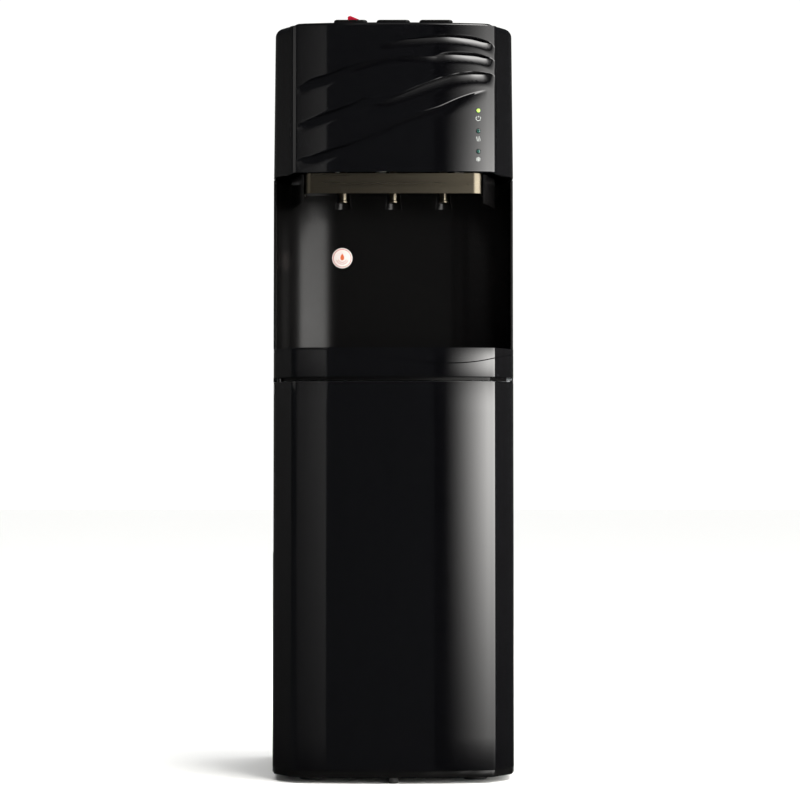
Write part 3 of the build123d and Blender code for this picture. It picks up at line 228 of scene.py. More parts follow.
def arc_points(centre, radius, start, end, steps):
    """Points and outward normals along an arc, with angles in radians from -Y towards +X."""
    made = []
    for step in range(steps + 1):
        angle = start + (end - start) * step / steps
        normal = Vector((math.sin(angle), -math.cos(angle)))
        made.append((centre + normal * radius, normal))
    return made


def right_half(sizes):
    """Points and outward normals of the cabinet's plan, from the middle of its front to its right side."""
    corner = Vector((BODY_HALF - sizes.corner_inset, FRONT_Y + sizes.front_bow))
    shoulder = Vector((BODY_HALF, FRONT_Y + sizes.shoulder_set))
    bow_radius = (corner.x**2 + sizes.front_bow**2) / (2 * sizes.front_bow)
    bow_centre = Vector((0, FRONT_Y + bow_radius))
    facet = (shoulder - corner).normalized()
    outward = Vector((facet.y, -facet.x))
    facet_angle = math.atan2(outward.x, -outward.y)
    start = corner - outward * sizes.nose_radius - bow_centre
    along = start.dot(facet)
    reach = bow_radius - sizes.nose_radius
    slide = -along - math.sqrt(along**2 - start.length_squared + reach**2)
    nose_centre = bow_centre + start + facet * slide
    nose_angle = math.atan2(nose_centre.x, bow_centre.y - nose_centre.y)
    turn = math.pi / 2 - facet_angle
    tangent = sizes.shoulder_radius * math.tan(turn / 2)
    shoulder_centre = Vector((BODY_HALF - sizes.shoulder_radius, shoulder.y + tangent))
    made = arc_points(bow_centre, bow_radius, 0, nose_angle, 40)
    made += arc_points(nose_centre, sizes.nose_radius, nose_angle, facet_angle, 14)[1:]
    facet_start = made[-1][0]
    shoulder_arc = arc_points(shoulder_centre, sizes.shoulder_radius, facet_angle, math.pi / 2, 16)
    for step in range(1, 5):
        made.append((facet_start.lerp(shoulder_arc[0][0], step / 5), outward))
    return made + shoulder_arc


def cabinet_outline(sizes, back_y, inset=0.0, rear_radius=0.0):
    """The cabinet's plan from the left end of back_y round the front to its right end, set in by inset."""
    half = []
    for point, normal in right_half(sizes):
        if point.y < back_y - MM:
            at = point - normal * inset
            half.append(Vector((at.x, min(at.y, back_y))))
    side = right_half(sizes)[-1][0]
    if back_y > side.y:
        ends = [Vector((BODY_HALF - inset, back_y))]
        if rear_radius:
            centre = Vector((BODY_HALF - inset - rear_radius, back_y - rear_radius))
            turn = arc_points(centre, rear_radius, math.pi / 2, math.pi, 8)
            ends = [point for point, _ in turn]
        half += ends
    else:
        before, after = None, None
        points = right_half(sizes)
        for (low, low_normal), (high, high_normal) in zip(points, points[1:]):
            if low.y < back_y <= high.y:
                share = (back_y - low.y) / (high.y - low.y)
                before = low.lerp(high, share)
                after = low_normal.lerp(high_normal, share)
        half.append(Vector((before.x - after.x * inset, back_y)))
    left = [Vector((-point.x, point.y)) for point in reversed(half[1:])]
    return left + half


def niche_outline(sizes, grow=0.0):
    """The niche's plan from the right end of its mouth round the back to the left end."""
    across = BODY_HALF - STEEL - sizes.niche_wall - SEAM + grow - sizes.niche_flat_half
    deep = NICHE_BACK_Y - sizes.niche_wall + grow - NICHE_FRONT_Y
    right = []
    for step in range(33):
        angle = math.pi / 2 * step / 32
        x = sizes.niche_flat_half + across * math.cos(angle)
        right.append(Vector((x, NICHE_FRONT_Y + deep * math.sin(angle))))
    return right + [Vector((-point.x, point.y)) for point in reversed(right)]


def tray_outline(sizes, inset=0.0):
    """The closed plan of the tray area: the bowed front, then the niche behind it."""
    front = cabinet_outline(sizes, NICHE_FRONT_Y, inset)
    return front + niche_outline(sizes, -SEAM - inset)


def level(outline, z):
    """An outline's points at one height, or at a height given by a function of x."""
    if callable(z):
        return [Vector((point.x, point.y, z(point))) for point in outline]
    return [Vector((point.x, point.y, z)) for point in outline]


def curve_at(points, x):
    """A smooth curve through given points, read at x, and level beyond its ends."""
    if x <= points[0][0]:
        return points[0][1]
    if x >= points[-1][0]:
        return points[-1][1]
    at = next(i for i in range(len(points) - 1) if points[i][0] <= x <= points[i + 1][0])
    slopes = []
    for i in (at, at + 1):
        before, after = points[max(i - 1, 0)], points[min(i + 1, len(points) - 1)]
        slopes.append((after[1] - before[1]) / (after[0] - before[0]))
    (low_x, low_y), (high_x, high_y) = points[at], points[at + 1]
    span = high_x - low_x
    t = (x - low_x) / span
    return (
        low_y * (1 + 2 * t) * (1 - t) ** 2
        + slopes[0] * span * t * (1 - t) ** 2
        + high_y * t * t * (3 - 2 * t)
        + slopes[1] * span * t * t * (t - 1)
    )


# ---- meshes --------------------------------------------------------------------------------

def mesh_piece(name, mesh):
    """Turns bmesh into an object in the scene, its faces turned outwards and smooth up to sharp edges."""
    bmesh.ops.recalc_face_normals(mesh, faces=mesh.faces)
    data = bpy.data.meshes.new(name)
    mesh.to_mesh(data)
    mesh.free()
    data.shade_smooth()
    data.set_sharp_from_angle(angle=math.radians(28))
    piece = bpy.data.objects.new(name, data)
    bpy.context.scene.collection.objects.link(piece)
    return piece


def bridge(mesh, rings, closed=True):
    """Rows of quads between rings of the same length."""
    loops = [[mesh.verts.new(point) for point in ring] for ring in rings]
    for low, high in zip(loops, loops[1:]):
        for i in range(len(low) - (0 if closed else 1)):
            j = (i + 1) % len(low)
            mesh.faces.new((low[i], low[j], high[j], high[i]))
    return loops


def loft(mesh, rings):
    """A closed skin through rings, with flat ends."""
    loops = bridge(mesh, rings)
    mesh.faces.new(loops[0])
    mesh.faces.new(loops[-1])


def lofted(name, *ring_sets):
    """One piece out of one or more closed lofts."""
    mesh = bmesh.new()
    for rings in ring_sets:
        loft(mesh, rings)
    return mesh_piece(name, mesh)


def circle(centre, radius, z, steps=32):
    """A level ring."""
    turn = 2 * math.pi / steps
    return [
        Vector((centre[0] + radius * math.cos(i * turn), centre[1] + radius * math.sin(i * turn), z))
        for i in range(steps)
    ]


def rounded_box(centre, length, depth, radius, steps=6):
    """The plan of a rectangle with rounded corners."""
    made = []
    for corner, (side_x, side_y) in enumerate(((1, 1), (-1, 1), (-1, -1), (1, -1))):
        x = centre[0] + side_x * (length / 2 - radius)
        y = centre[1] + side_y * (depth / 2 - radius)
        middle = Vector((x, y))
        for step in range(steps + 1):
            angle = math.pi / 2 * (corner + step / steps)
            made.append(middle + radius * Vector((math.cos(angle), math.sin(angle))))
    return made


def rim_rows(radius, steps=4):
    """Inset and drop pairs of a rounded rim, from its face to its wall."""
    made = []
    for step in range(steps + 1):
        angle = math.pi / 2 * step / steps
        made.append((radius * (1 - math.sin(angle)), radius * (1 - math.cos(angle))))
    return made


def carve(piece, *cutters):
    """Cuts pieces out of another, for good."""
    for cutter in cutters:
        cut = piece.modifiers.new("cut", "BOOLEAN")
        cut.operation = "DIFFERENCE"
        cut.solver = "EXACT"
        cut.object = cutter
    graph = bpy.context.evaluated_depsgraph_get()
    data = bpy.data.meshes.new_from_object(piece.evaluated_get(graph))
    piece.modifiers.clear()
    piece.data = data
    for cutter in cutters:
        bpy.data.objects.remove(cutter)
    data.shade_smooth()
    data.set_sharp_from_angle(angle=math.radians(28))
    return piece


def soften(piece, radius, angle=35, segments=3, weld=False):
    """Rounds a piece's sharp edges."""
    if weld:
        joined = piece.modifiers.new("join", "WELD")
        joined.merge_threshold = 0.01 * MM
    rounded = piece.modifiers.new("round", "BEVEL")
    rounded.width = radius
    rounded.segments = segments
    rounded.limit_method = "ANGLE"
    rounded.angle_limit = math.radians(angle)
    rounded.harden_normals = True
    rounded.use_clamp_overlap = True
    return piece


def fit(piece, finish, body, nodes=()):
    """Gives a piece its finish, its body and the CAD nodes it stands for."""
    piece.data.materials.clear()
    piece.data.materials.append(FINISHES[finish])
    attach(piece, body)
    if nodes:
        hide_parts(*nodes)
    return piece


FINISHES = {}


# ---- sizes ---------------------------------------------------------------------------------

class DispenserSizes(bpy.types.PropertyGroup):
    """Sizes of the dispenser's visible pieces."""

    corner_inset: bpy.props.FloatProperty(
        name="Corner inset", description="Front corner, in from the side", default=0.0285, unit="LENGTH")
    front_bow: bpy.props.FloatProperty(
        name="Front bow", description="How far the bowed front falls back at its corners", default=0.011,
        unit="LENGTH")
    shoulder_set: bpy.props.FloatProperty(
        name="Shoulder set", description="Where the angled corner meets the side, behind the front",
        default=0.050, unit="LENGTH")
    nose_radius: bpy.props.FloatProperty(
        name="Nose radius", description="Rounding between the front and its angled corner", default=0.012,
        unit="LENGTH")
    shoulder_radius: bpy.props.FloatProperty(
        name="Shoulder radius", description="Rounding between the angled corner and the side", default=0.028,
        unit="LENGTH")
    wall: bpy.props.FloatProperty(
        name="Wall", description="Thickness of the moulded shells", default=0.003, unit="LENGTH")
    rim_radius: bpy.props.FloatProperty(
        name="Rim radius", description="Rounding of the door's and trim's rims", default=0.0007,
        unit="LENGTH")
    niche_wall: bpy.props.FloatProperty(
        name="Niche wall", description="Thickness of the niche panel", default=0.0022, unit="LENGTH")
    niche_flat_half: bpy.props.FloatProperty(
        name="Niche flat half", description="Half the flat width of the niche's back", default=0.077,
        unit="LENGTH")
    fold_depth: bpy.props.FloatProperty(
        name="Fold depth", description="Depth of the deepest fold in the relief panel", default=0.0036,
        unit="LENGTH")
    hood_taper: bpy.props.FloatProperty(
        name="Head taper", description="How far the head's sides lean in", default=math.radians(0.55),
        subtype="ANGLE")


class DispenserStudio(bpy.types.PropertyGroup):
    """Camera, floor and lights."""

    camera_distance: bpy.props.FloatProperty(
        name="Camera distance", description="From the camera to the middle of the object", default=3.38,
        unit="LENGTH")
    camera_height: bpy.props.FloatProperty(
        name="Camera height", description="Height of the lens above the floor", default=0.38, unit="LENGTH")
    camera_pitch: bpy.props.FloatProperty(
        name="Camera pitch", description="How far the camera looks up", default=math.radians(2.26),
        subtype="ANGLE")
    camera_lens: bpy.props.FloatProperty(
        name="Lens", description="Focal length", default=108.76, subtype="DISTANCE_CAMERA")
    key_strength: bpy.props.FloatProperty(
        name="Key light", description="Radiance of the tall softbox on the right", default=12.0)
    fill_strength: bpy.props.FloatProperty(
        name="Fill light", description="Radiance of the dim card on the left", default=0.5)
    wing_strength: bpy.props.FloatProperty(
        name="Wing cards", description="Radiance of the dim cards beside and behind the cabinet",
        default=0.12)
    crown_strength: bpy.props.FloatProperty(
        name="Crown light", description="Radiance of the softbox above on the right", default=12.0)
    wash_strength: bpy.props.FloatProperty(
        name="Floor wash", description="Strength of the soft light from above that only the floor shows",
        default=3.9)
    floor_colour: bpy.props.FloatVectorProperty(
        name="Backdrop", description="Colour of the backdrop", default=linear("F2F2F0"), subtype="COLOR",
        size=3, min=0, max=1)


# ---- door, trim and tray -------------------------------------------------------------------

def open_back_shell(mesh, outer, inner):
    """A moulding that is open at the back: an outer skin, an inner skin, and a flat rim between them."""
    out = bridge(mesh, outer, closed=False)
    within = bridge(mesh, inner, closed=False)
    for loops in (out, within):
        mesh.faces.new(loops[0])
        mesh.faces.new(loops[-1])
    for end in (0, -1):
        mesh.faces.new([row[end] for row in out] + [row[end] for row in reversed(within)])
        mesh.faces.new((out[end][0], out[end][-1], within[end][-1], within[end][0]))


class DISPENSER_OT_door(bpy.types.Operator):
    """Builds the bowed, hollow bottle door with its hinge bosses"""

    bl_idname = "dispenser.door"
    bl_label = "Door"

    def execute(self, context):
        sizes = context.scene.dispenser_sizes
        low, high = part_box("door_panel")
        rim = rim_rows(sizes.rim_radius)
        rows = [(inset, low.z + drop) for inset, drop in rim]
        rows += [(0.0, low.z + (high.z - low.z) * step / 12) for step in range(1, 12)]
        rows += [(inset, high.z - drop) for inset, drop in reversed(rim)]
        outer = [level(cabinet_outline(sizes, high.y, inset), z) for inset, z in rows]
        inner_rows = (low.z + sizes.wall, high.z - sizes.wall)
        inner = [level(cabinet_outline(sizes, high.y, sizes.wall), z) for z in inner_rows]
        mesh = bmesh.new()
        open_back_shell(mesh, outer, inner)
        pin_low, pin_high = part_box("door_hinge_pins")
        centre = ((pin_low.x + pin_high.x) / 2, (pin_low.y + pin_high.y) / 2)
        boss, boss_radius = 16 * MM, 7.4 * MM
        for foot in (low.z + sizes.wall, high.z - boss):
            loft(mesh, [circle(centre, boss_radius, z) for z in (foot, foot + boss - sizes.wall)])
        fit(mesh_piece("door_skin", mesh), "piano_black", "door", ["door_panel"])
        return {"FINISHED"}


def tray_wave(point):
    """Height of the wavy parting line between the trim and the tray, at a point on the front."""
    line = [(-160, -3.0), (-104, -0.9), (-62, -7.2), (18, -17.2), (68, -20.6), (112, -18.0), (160, -7.5)]
    return TRIM_TOP + MM * curve_at(line, point.x / MM)


class DISPENSER_OT_trim_and_tray(bpy.types.Operator):
    """Builds the fascia under the niche and the lift-out drip tray, parted by a wavy line"""

    bl_idname = "dispenser.trim_and_tray"
    bl_label = "Trim and tray"

    def execute(self, context):
        sizes = context.scene.dispenser_sizes
        front_count = len(cabinet_outline(sizes, NICHE_FRONT_Y))
        trim_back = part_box("mid_trim")[1].z

        def shared(rows):
            """Rings of the tray plan, each with one height for the front and one for the niche behind it."""
            rings = []
            for inset, front_z, back_z in rows:
                outline = tray_outline(sizes, inset)
                front = level(outline[:front_count], front_z)
                rings.append(front + level(outline[front_count:], back_z))
            return rings

        def under(drop):
            return lambda point: min(tray_wave(point) - drop, trim_back)

        rim = sizes.rim_radius * 0.6
        floor_z = TRIM_LOW + 4 * MM
        rows = [(inset, TRIM_LOW + drop, TRIM_LOW + drop) for inset, drop in rim_rows(rim, 3)]
        rows.append((0.0, under(0.5 * MM + rim), trim_back - rim))
        rows.append((rim, under(0.5 * MM), trim_back))
        rows.append((sizes.wall, under(0.5 * MM), trim_back))
        rows.append((sizes.wall, floor_z, floor_z))
        mesh = bmesh.new()
        loft(mesh, shared(rows))
        fit(mesh_piece("trim_skin", mesh), "piano_black", "cabinet", ["mid_trim"])

        low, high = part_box("drip_tray")
        lip = high.z - 2.5 * MM
        basin = sizes.wall + 1 * MM
        rows = [
            (basin, low.z, low.z),
            (basin, low.z + 6 * MM, lip),
            (rim, tray_wave, lip),
            (0.0, lambda point: tray_wave(point) + rim, lip + rim),
        ]
        rows += [(inset, high.z - drop, high.z - drop) for inset, drop in reversed(rim_rows(rim, 3))]
        rows += [
            (basin + 0.2 * MM, high.z, high.z),
            (basin + 0.2 * MM, high.z - 4 * MM, high.z - 4 * MM),
            (basin + 2 * MM, high.z - 4 * MM, high.z - 4 * MM),
            (basin + 2 * MM, low.z + 2 * MM, low.z + 2 * MM),
        ]
        mesh = bmesh.new()
        loft(mesh, shared(rows))
        fit(mesh_piece("tray_skin", mesh), "piano_black", "drip_tray", ["drip_tray"])

        # Painted shade: a dark strip behind the gap over the door, put where the gap lies in shade, which
        # closes the view into the compartment
        front, back = (cabinet_outline(sizes, NICHE_FRONT_Y, inset) for inset in (9 * MM, 11.5 * MM))
        strip = front + list(reversed(back))
        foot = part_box("door_panel")[1].z + 1.2 * MM
        shade_strip = lofted("gap_shade_strip", [level(strip, foot), level(strip, TRIM_LOW - 0.2 * MM)])
        fit(shade_strip, "satin_black", "cabinet")
        return {"FINISHED"}


class DISPENSER_OT_niche(bpy.types.Operator):
    """Builds the curved wall of the dispensing niche"""

    bl_idname = "dispenser.niche"
    bl_label = "Niche"

    def execute(self, context):
        sizes = context.scene.dispenser_sizes
        low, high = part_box("niche_panel")
        inner, outer = niche_outline(sizes), niche_outline(sizes, sizes.niche_wall)
        wall = inner + list(reversed(outer))
        piece = lofted("niche_wall", [level(wall, low.z), level(wall, high.z)])
        soften(piece, 0.4 * MM, angle=60)
        fit(piece, "satin_black", "cabinet", ["niche_panel"])
        return {"FINISHED"}


# ---- head ----------------------------------------------------------------------------------

class DISPENSER_OT_head(bpy.types.Operator):
    """Builds the tapered head shell with its window for the relief panel and its three key openings"""

    bl_idname = "dispenser.head"
    bl_label = "Head shell"

    def execute(self, context):
        sizes = context.scene.dispenser_sizes
        low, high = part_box("head_shell")
        front_round, side_round, rear_round = 4 * MM, 11 * MM, 12 * MM
        blend_start, blend_length = -14 * MM, 24 * MM   # where the top rounding widens, from the corner
        lean = math.tan(sizes.hood_taper)
        corner_x = BODY_HALF - sizes.corner_inset

        def ring(rise, inset_share, drop_share):
            """One level of the shell, or of its top rounding, which is wider round the corners and sides."""
            made = []
            for at, point in enumerate(cabinet_outline(sizes, high.y, 0.0, rear_round)):
                share = min(max((abs(point.x) - corner_x - blend_start) / blend_length, 0.0), 1.0)
                rounding = front_round + (side_round - front_round) * share * share * (3 - 2 * share)
                if point.y > 0:
                    rounding = side_round
                z = rise - rounding * drop_share
                inset = inset_share * rounding + (z - low.z) * lean
                set_in = cabinet_outline(sizes, high.y - inset, inset, rear_round)[at]
                made.append(Vector((set_in.x, set_in.y, z)))
            return made

        straight = high.z - side_round
        rings = [ring(low.z, 0.02, 0.0), ring(low.z + 0.3 * MM, 0.0, 0.0)]
        rings += [ring(low.z + (straight - low.z) * step / 8, 0.0, 0.0) for step in range(1, 8)]
        rings += [ring(high.z, inset, drop) for inset, drop in reversed(rim_rows(1.0, 9))]
        shell = lofted("head_skin", rings)
        skin = sizes.wall + 2 * MM
        inner = cabinet_outline(sizes, high.y - skin, skin)
        hollow = lofted("hollow", [level(inner, low.z - 10 * MM), level(inner, high.z - sizes.wall)])
        panel_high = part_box("wave_panel")[1]
        window_half, window_back = panel_high.x + SEAM, panel_high.y + SEAM
        window_plan = [
            Vector((side * window_half, y))
            for side, y in ((-1, FRONT_Y - 0.1), (1, FRONT_Y - 0.1), (1, window_back), (-1, window_back))
        ]
        window = lofted("window", [level(window_plan, z) for z in (low.z - 10 * MM, panel_high.z + SEAM)])
        cutters = [hollow, window]
        for key in ("hot_key", "room_key", "cold_key"):
            key_low, key_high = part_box(key)
            centre = (key_low + key_high) / 2
            size = key_high - key_low
            plan = rounded_box(centre, size.x + 2 * SEAM, size.y + 2 * SEAM, 6.4 * MM)
            cutters.append(lofted("key_hole", [level(plan, high.z - 0.02), level(plan, high.z + 0.02)]))
        carve(shell, *cutters)
        soften(shell, 0.35 * MM, angle=50, segments=2)
        fit(shell, "piano_black", "cabinet", ["head_shell"])
        return {"FINISHED"}


# Folds of the relief panel, from the top down, in millimetres. Each has the line of its crease as x and
# height above the head's foot, its share of the full depth along x, and its reach above and below the line.
FOLDS = (
    {
        "line": ((-138, 140), (-60, 158), (-23, 167.5), (9, 177.5), (36, 181.5), (63, 184.5), (76, 185),
                 (102, 183.5), (116, 180.5), (129, 175.5), (138, 168.5)),
        "depth": ((-32, 0), (-5, 0.3), (36, 0.7), (76, 1.0), (120, 1.0), (136, 0)),
        "above": 1.3, "below": 15,
    },
    {
        "line": ((-138, 111), (-123, 118.5), (-108, 126.5), (-88, 132.5), (-70, 139.2), (-54, 144.5),
                 (-4, 154), (30, 156), (57, 157.5), (69, 160.5), (82, 161.5), (109, 160.5), (122, 157.5),
                 (138, 151)),
        "depth": ((-130, 0), (-115, 0.5), (-90, 0.75), (-60, 0.55), (-10, 0.3), (40, 0.45), (75, 1.0),
                  (120, 1.0), (136, 0)),
        "above": 1.3, "below": 16,
    },
    {
        "line": ((-138, 60), (-120, 69), (-104, 75.5), (-90, 80.5), (-74, 86), (-57, 91.5), (-44, 97.5),
                 (-23, 106.7), (20, 125), (60, 141), (138, 143)),
        "depth": ((-128, 0), (-112, 0.55), (-85, 0.85), (-55, 0.7), (-30, 0.3), (-12, 0)),
        "above": 1.3, "below": 16,
    },
    {
        "line": ((-138, 42), (-80, 62), (-28, 89.5), (-4, 99.5), (23, 111.5), (49, 122), (76, 130.7),
                 (102, 135.5), (118, 135.5), (129, 134), (138, 131)),
        "depth": ((-40, 0), (-20, 0.35), (10, 0.75), (45, 0.95), (76, 1.0), (120, 1.0), (136, 0)),
        "above": 1.3, "below": 19,
    },
    {
        "line": ((-138, 15), (-118, 21.5), (-104, 24.5), (-80, 32.5), (-57, 39), (-30, 50.5), (-4, 65),
                 (15, 73), (40, 81.5), (62, 88.5), (89, 100.5), (115, 109.5), (129, 112), (138, 112)),
        "depth": ((-130, 0), (-112, 0.5), (-85, 0.8), (-50, 0.6), (-10, 0.45), (50, 0.4), (90, 0.25),
                  (125, 0)),
        "above": 1.6, "below": 15,
    },
)


def fold_depth_at(sizes, x, z):
    """How far the relief panel lies behind its plan at x and height z."""
    depth = 0.0
    for fold in FOLDS:
        line = HEAD_FOOT + MM * curve_at(fold["line"], x / MM)
        reach = MM * (fold["below"] if z < line else fold["above"])
        share = max(0.0, 1 - abs(z - line) / reach)
        depth += sizes.fold_depth * curve_at(fold["depth"], x / MM) * share**2
    return depth


def panel_columns(sizes):
    """Evenly spaced points and inward directions along the front of the relief panel."""
    panel_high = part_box("wave_panel")[1]
    half = right_half(sizes)
    made = []
    for (low, low_normal), (high, high_normal) in zip(half, half[1:]):
        steps = max(1, round((high - low).length / (1.6 * MM)))
        for step in range(steps):
            share = step / steps
            made.append((low.lerp(high, share), low_normal.lerp(high_normal, share).normalized()))
    front = [pair for pair in made if pair[0].x < panel_high.x - 0.3 * MM]
    last, normal = front[-1]
    edge = last + Vector((-normal.y, normal.x)) * ((panel_high.x - last.x) / -normal.y)
    front.append((edge, normal))
    mirrored = [(Vector((-p.x, p.y)), Vector((-n.x, n.y))) for p, n in reversed(front[1:])]
    return mirrored + front


def panel_y(sizes, x, z):
    """Where the face of the relief panel lies, away from its corners."""
    corner = BODY_HALF - sizes.corner_inset
    bow_radius = (corner**2 + sizes.front_bow**2) / (2 * sizes.front_bow)
    return FRONT_Y + bow_radius - math.sqrt(bow_radius**2 - x**2) + fold_depth_at(sizes, x, z)


class DISPENSER_OT_relief_panel(bpy.types.Operator):
    """Builds the glossy front of the head with its overlapping folds"""

    bl_idname = "dispenser.relief_panel"
    bl_label = "Relief panel"

    def execute(self, context):
        sizes = context.scene.dispenser_sizes
        low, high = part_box("wave_panel")
        columns = panel_columns(sizes)
        rings = []
        for point, normal in columns:
            stops = [low.z]
            stops += [HEAD_FOOT + MM * curve_at(fold["line"], point.x / MM) for fold in reversed(FOLDS)]
            stops.append(high.z)
            heights = []
            for start, end in zip(stops, stops[1:]):
                for step in range(22):
                    share = step / 22
                    heights.append(start + (end - start) * (share - math.sin(2 * math.pi * share) * 0.09))
            heights.append(high.z)
            rings.append([
                Vector((*(point - normal * fold_depth_at(sizes, point.x, z)), z)) for z in heights
            ])
        for end, side in ((0, -1), (-1, 1)):
            edge = [Vector((side * high.x, high.y, point.z)) for point in rings[end]]
            rings = [edge] + rings if end == 0 else rings + [edge]
        mesh = bmesh.new()
        bridge(mesh, rings, closed=False)
        piece = mesh_piece("relief_panel", mesh)
        thick = piece.modifiers.new("wall", "SOLIDIFY")
        thick.thickness = 2 * MM
        thick.offset = -1
        thick.use_rim = True
        fit(piece, "piano_black", "cabinet", ["wave_panel"])
        return {"FINISHED"}


class DISPENSER_OT_band(bpy.types.Operator):
    """Builds the smoked chrome band across the tap hood, wrapped round both ends"""

    bl_idname = "dispenser.band"
    bl_label = "Band"

    def execute(self, context):
        low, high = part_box("trim_band")
        wall, corner = 1.4 * MM, 13 * MM

        def wrap(inset):
            centre = Vector((high.x - corner, low.y + corner))
            right = [point for point, _ in arc_points(centre, corner - inset, 0, math.pi / 2, 12)]
            right.append(Vector((high.x - inset, high.y)))
            return [Vector((-p.x, p.y)) for p in reversed(right)] + right

        plan = wrap(0.0) + list(reversed(wrap(wall)))
        piece = lofted("band_skin", [level(plan, low.z), level(plan, high.z)])
        soften(piece, 0.5 * MM)
        fit(piece, "smoked_chrome", "cabinet", ["trim_band"])
        return {"FINISHED"}


class DISPENSER_OT_taps(bpy.types.Operator):
    """Builds the three turned nozzles and the flared guard behind each"""

    bl_idname = "dispenser.taps"
    bl_label = "Taps"

    def execute(self, context):
        low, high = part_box("tap_nozzles")
        radius = (high.y - low.y) / 2
        tap_y = (high.y + low.y) / 2
        spacing = high.x - radius
        hood_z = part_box("nozzle_guards")[1].z
        profile = [
            (3.2 * MM, low.z + 14 * MM),
            (3.2 * MM, low.z + 0.4 * MM),
            (3.6 * MM, low.z),
            (radius - 0.6 * MM, low.z),
            (radius - 0.1 * MM, low.z + 0.3 * MM),
            (radius, low.z + 0.8 * MM),
            (radius, low.z + 1.9 * MM),
            (radius - 0.3 * MM, low.z + 2.4 * MM),
            (radius - 1.3 * MM, low.z + 3.2 * MM),
            (radius - 0.7 * MM, hood_z),
            (radius - 1.5 * MM, hood_z),
            (radius - 1.5 * MM, high.z),
        ]
        mesh = bmesh.new()
        for x in (-spacing, 0.0, spacing):
            loft(mesh, [circle((x, tap_y), r, z, 48) for r, z in profile])
        fit(mesh_piece("nozzles", mesh), "smoked_chrome", "cabinet", ["tap_nozzles"])

        guard_low, guard_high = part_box("nozzle_guards")
        mesh = bmesh.new()
        for x in (-spacing, 0.0, spacing):
            rows = []
            for z, outer in ((guard_low.z, 11.5 * MM), (guard_high.z, 9.6 * MM)):
                row = []
                for r, way in ((outer, 1), (outer - 1.4 * MM, -1)):
                    angles = [math.pi * step / 28 for step in range(29)][::way]
                    row += [Vector((x + r * math.cos(a), tap_y + r * math.sin(a), z)) for a in angles]
                rows.append(row)
            loft(mesh, rows)
        piece = soften(mesh_piece("tap_guards", mesh), 0.4 * MM)
        fit(piece, "satin_black", "cabinet", ["nozzle_guards"])
        return {"FINISHED"}


class DISPENSER_OT_keys(bpy.types.Operator):
    """Builds the three dished push keys and the child lock's slot"""

    bl_idname = "dispenser.keys"
    bl_label = "Keys"

    def execute(self, context):
        key_height = 11 * MM
        for key in ("hot_key", "room_key", "cold_key"):
            low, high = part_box(key)
            centre, size = (low + high) / 2, high - low
            skirt = high.z - key_height
            rows = [(0.3 * MM, skirt), (0.0, skirt + 0.3 * MM), (0.0, high.z - 2.5 * MM)]
            rows += [(inset, high.z - drop) for inset, drop in reversed(rim_rows(2.5 * MM, 6))][1:]
            rows += [(5 * MM, high.z - 0.15 * MM), (8 * MM, high.z - 0.45 * MM), (11 * MM, high.z - 0.6 * MM)]
            rings = []
            for inset, z in rows:
                corner = max(6 * MM - inset, 1.2 * MM)
                rings.append(level(rounded_box(centre, size.x - 2 * inset, size.y - 2 * inset, corner), z))
            stem = [circle(centre, 3.5 * MM, low.z), circle(centre, 3.5 * MM, skirt)]
            piece = lofted(key + "_cap", rings, stem)
            if key == "hot_key":
                lock_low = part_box("child_lock")[0]
                slot_plan = rounded_box((centre.x - 1 * MM, centre.y), 34 * MM, 9.4 * MM, 0.6 * MM)
                foot = lock_low.z - 0.2 * MM
                carve(piece, lofted("slot", [level(slot_plan, foot), level(slot_plan, high.z + 0.01)]))
            fit(piece, "satin_black", key, [key])
        return {"FINISHED"}


# ---- lamps, icons and the hot-water disc ---------------------------------------------------

def lay_stroke(mesh, points, width, place, closed=False):
    """A raised, flat stroke along points of a face. place turns a flat point and a lift into a 3-D point."""
    count = len(points)
    rails = []
    for i, point in enumerate(points):
        before = points[i - 1] if closed or i > 0 else point
        after = points[(i + 1) % count] if closed or i < count - 1 else point
        along = (after - before).normalized()
        side = Vector((-along.y, along.x)) * width / 2
        rails.append([place(point + side, 0.0), place(point + side, 1.0), place(point - side, 1.0),
                      place(point - side, 0.0)])
    loops = [[mesh.verts.new(corner) for corner in rail] for rail in rails]
    pairs = list(zip(loops, loops[1:])) + ([(loops[-1], loops[0])] if closed else [])
    for low, high in pairs:
        for i in range(4):
            j = (i + 1) % 4
            mesh.faces.new((low[i], low[j], high[j], high[i]))
    if not closed:
        mesh.faces.new(loops[0])
        mesh.faces.new(loops[-1])


def arc_line(centre, radius, start, end, steps):
    """Points of an arc in a flat drawing, angles in degrees from its right towards its top."""
    made = []
    for step in range(steps + 1):
        angle = math.radians(start + (end - start) * step / steps)
        made.append(centre + radius * Vector((math.cos(angle), math.sin(angle))))
    return made


def power_strokes(size):
    """An open ring with a bar at its top."""
    bar = [Vector((0, size * 0.15)), Vector((0, size * 1.15))]
    return [arc_line(Vector((0, 0)), size, 125, 415, 24), bar]


def heat_strokes(size):
    """Three rising wavy lines."""
    made = []
    for column in (-1, 0, 1):
        line = []
        for step in range(13):
            rise = (step / 12 * 2 - 1) * size
            sway = 0.16 * math.sin(step / 12 * 2 * math.pi)
            line.append(Vector((column * size * 0.62 + size * sway, rise)))
        made.append(line)
    return made


def snow_strokes(size):
    """Three crossed arms with a small chevron at each end."""
    made = []
    for arm in range(6):
        angle = math.pi / 3 * arm + math.pi / 6
        way = Vector((math.cos(angle), math.sin(angle)))
        side = Vector((-way.y, way.x))
        if arm < 3:
            made.append([way * -size, way * size])
        root = way * size * 0.55
        made.append([root + (way + side) * size * 0.3, root, root + (way - side) * size * 0.3])
    return made


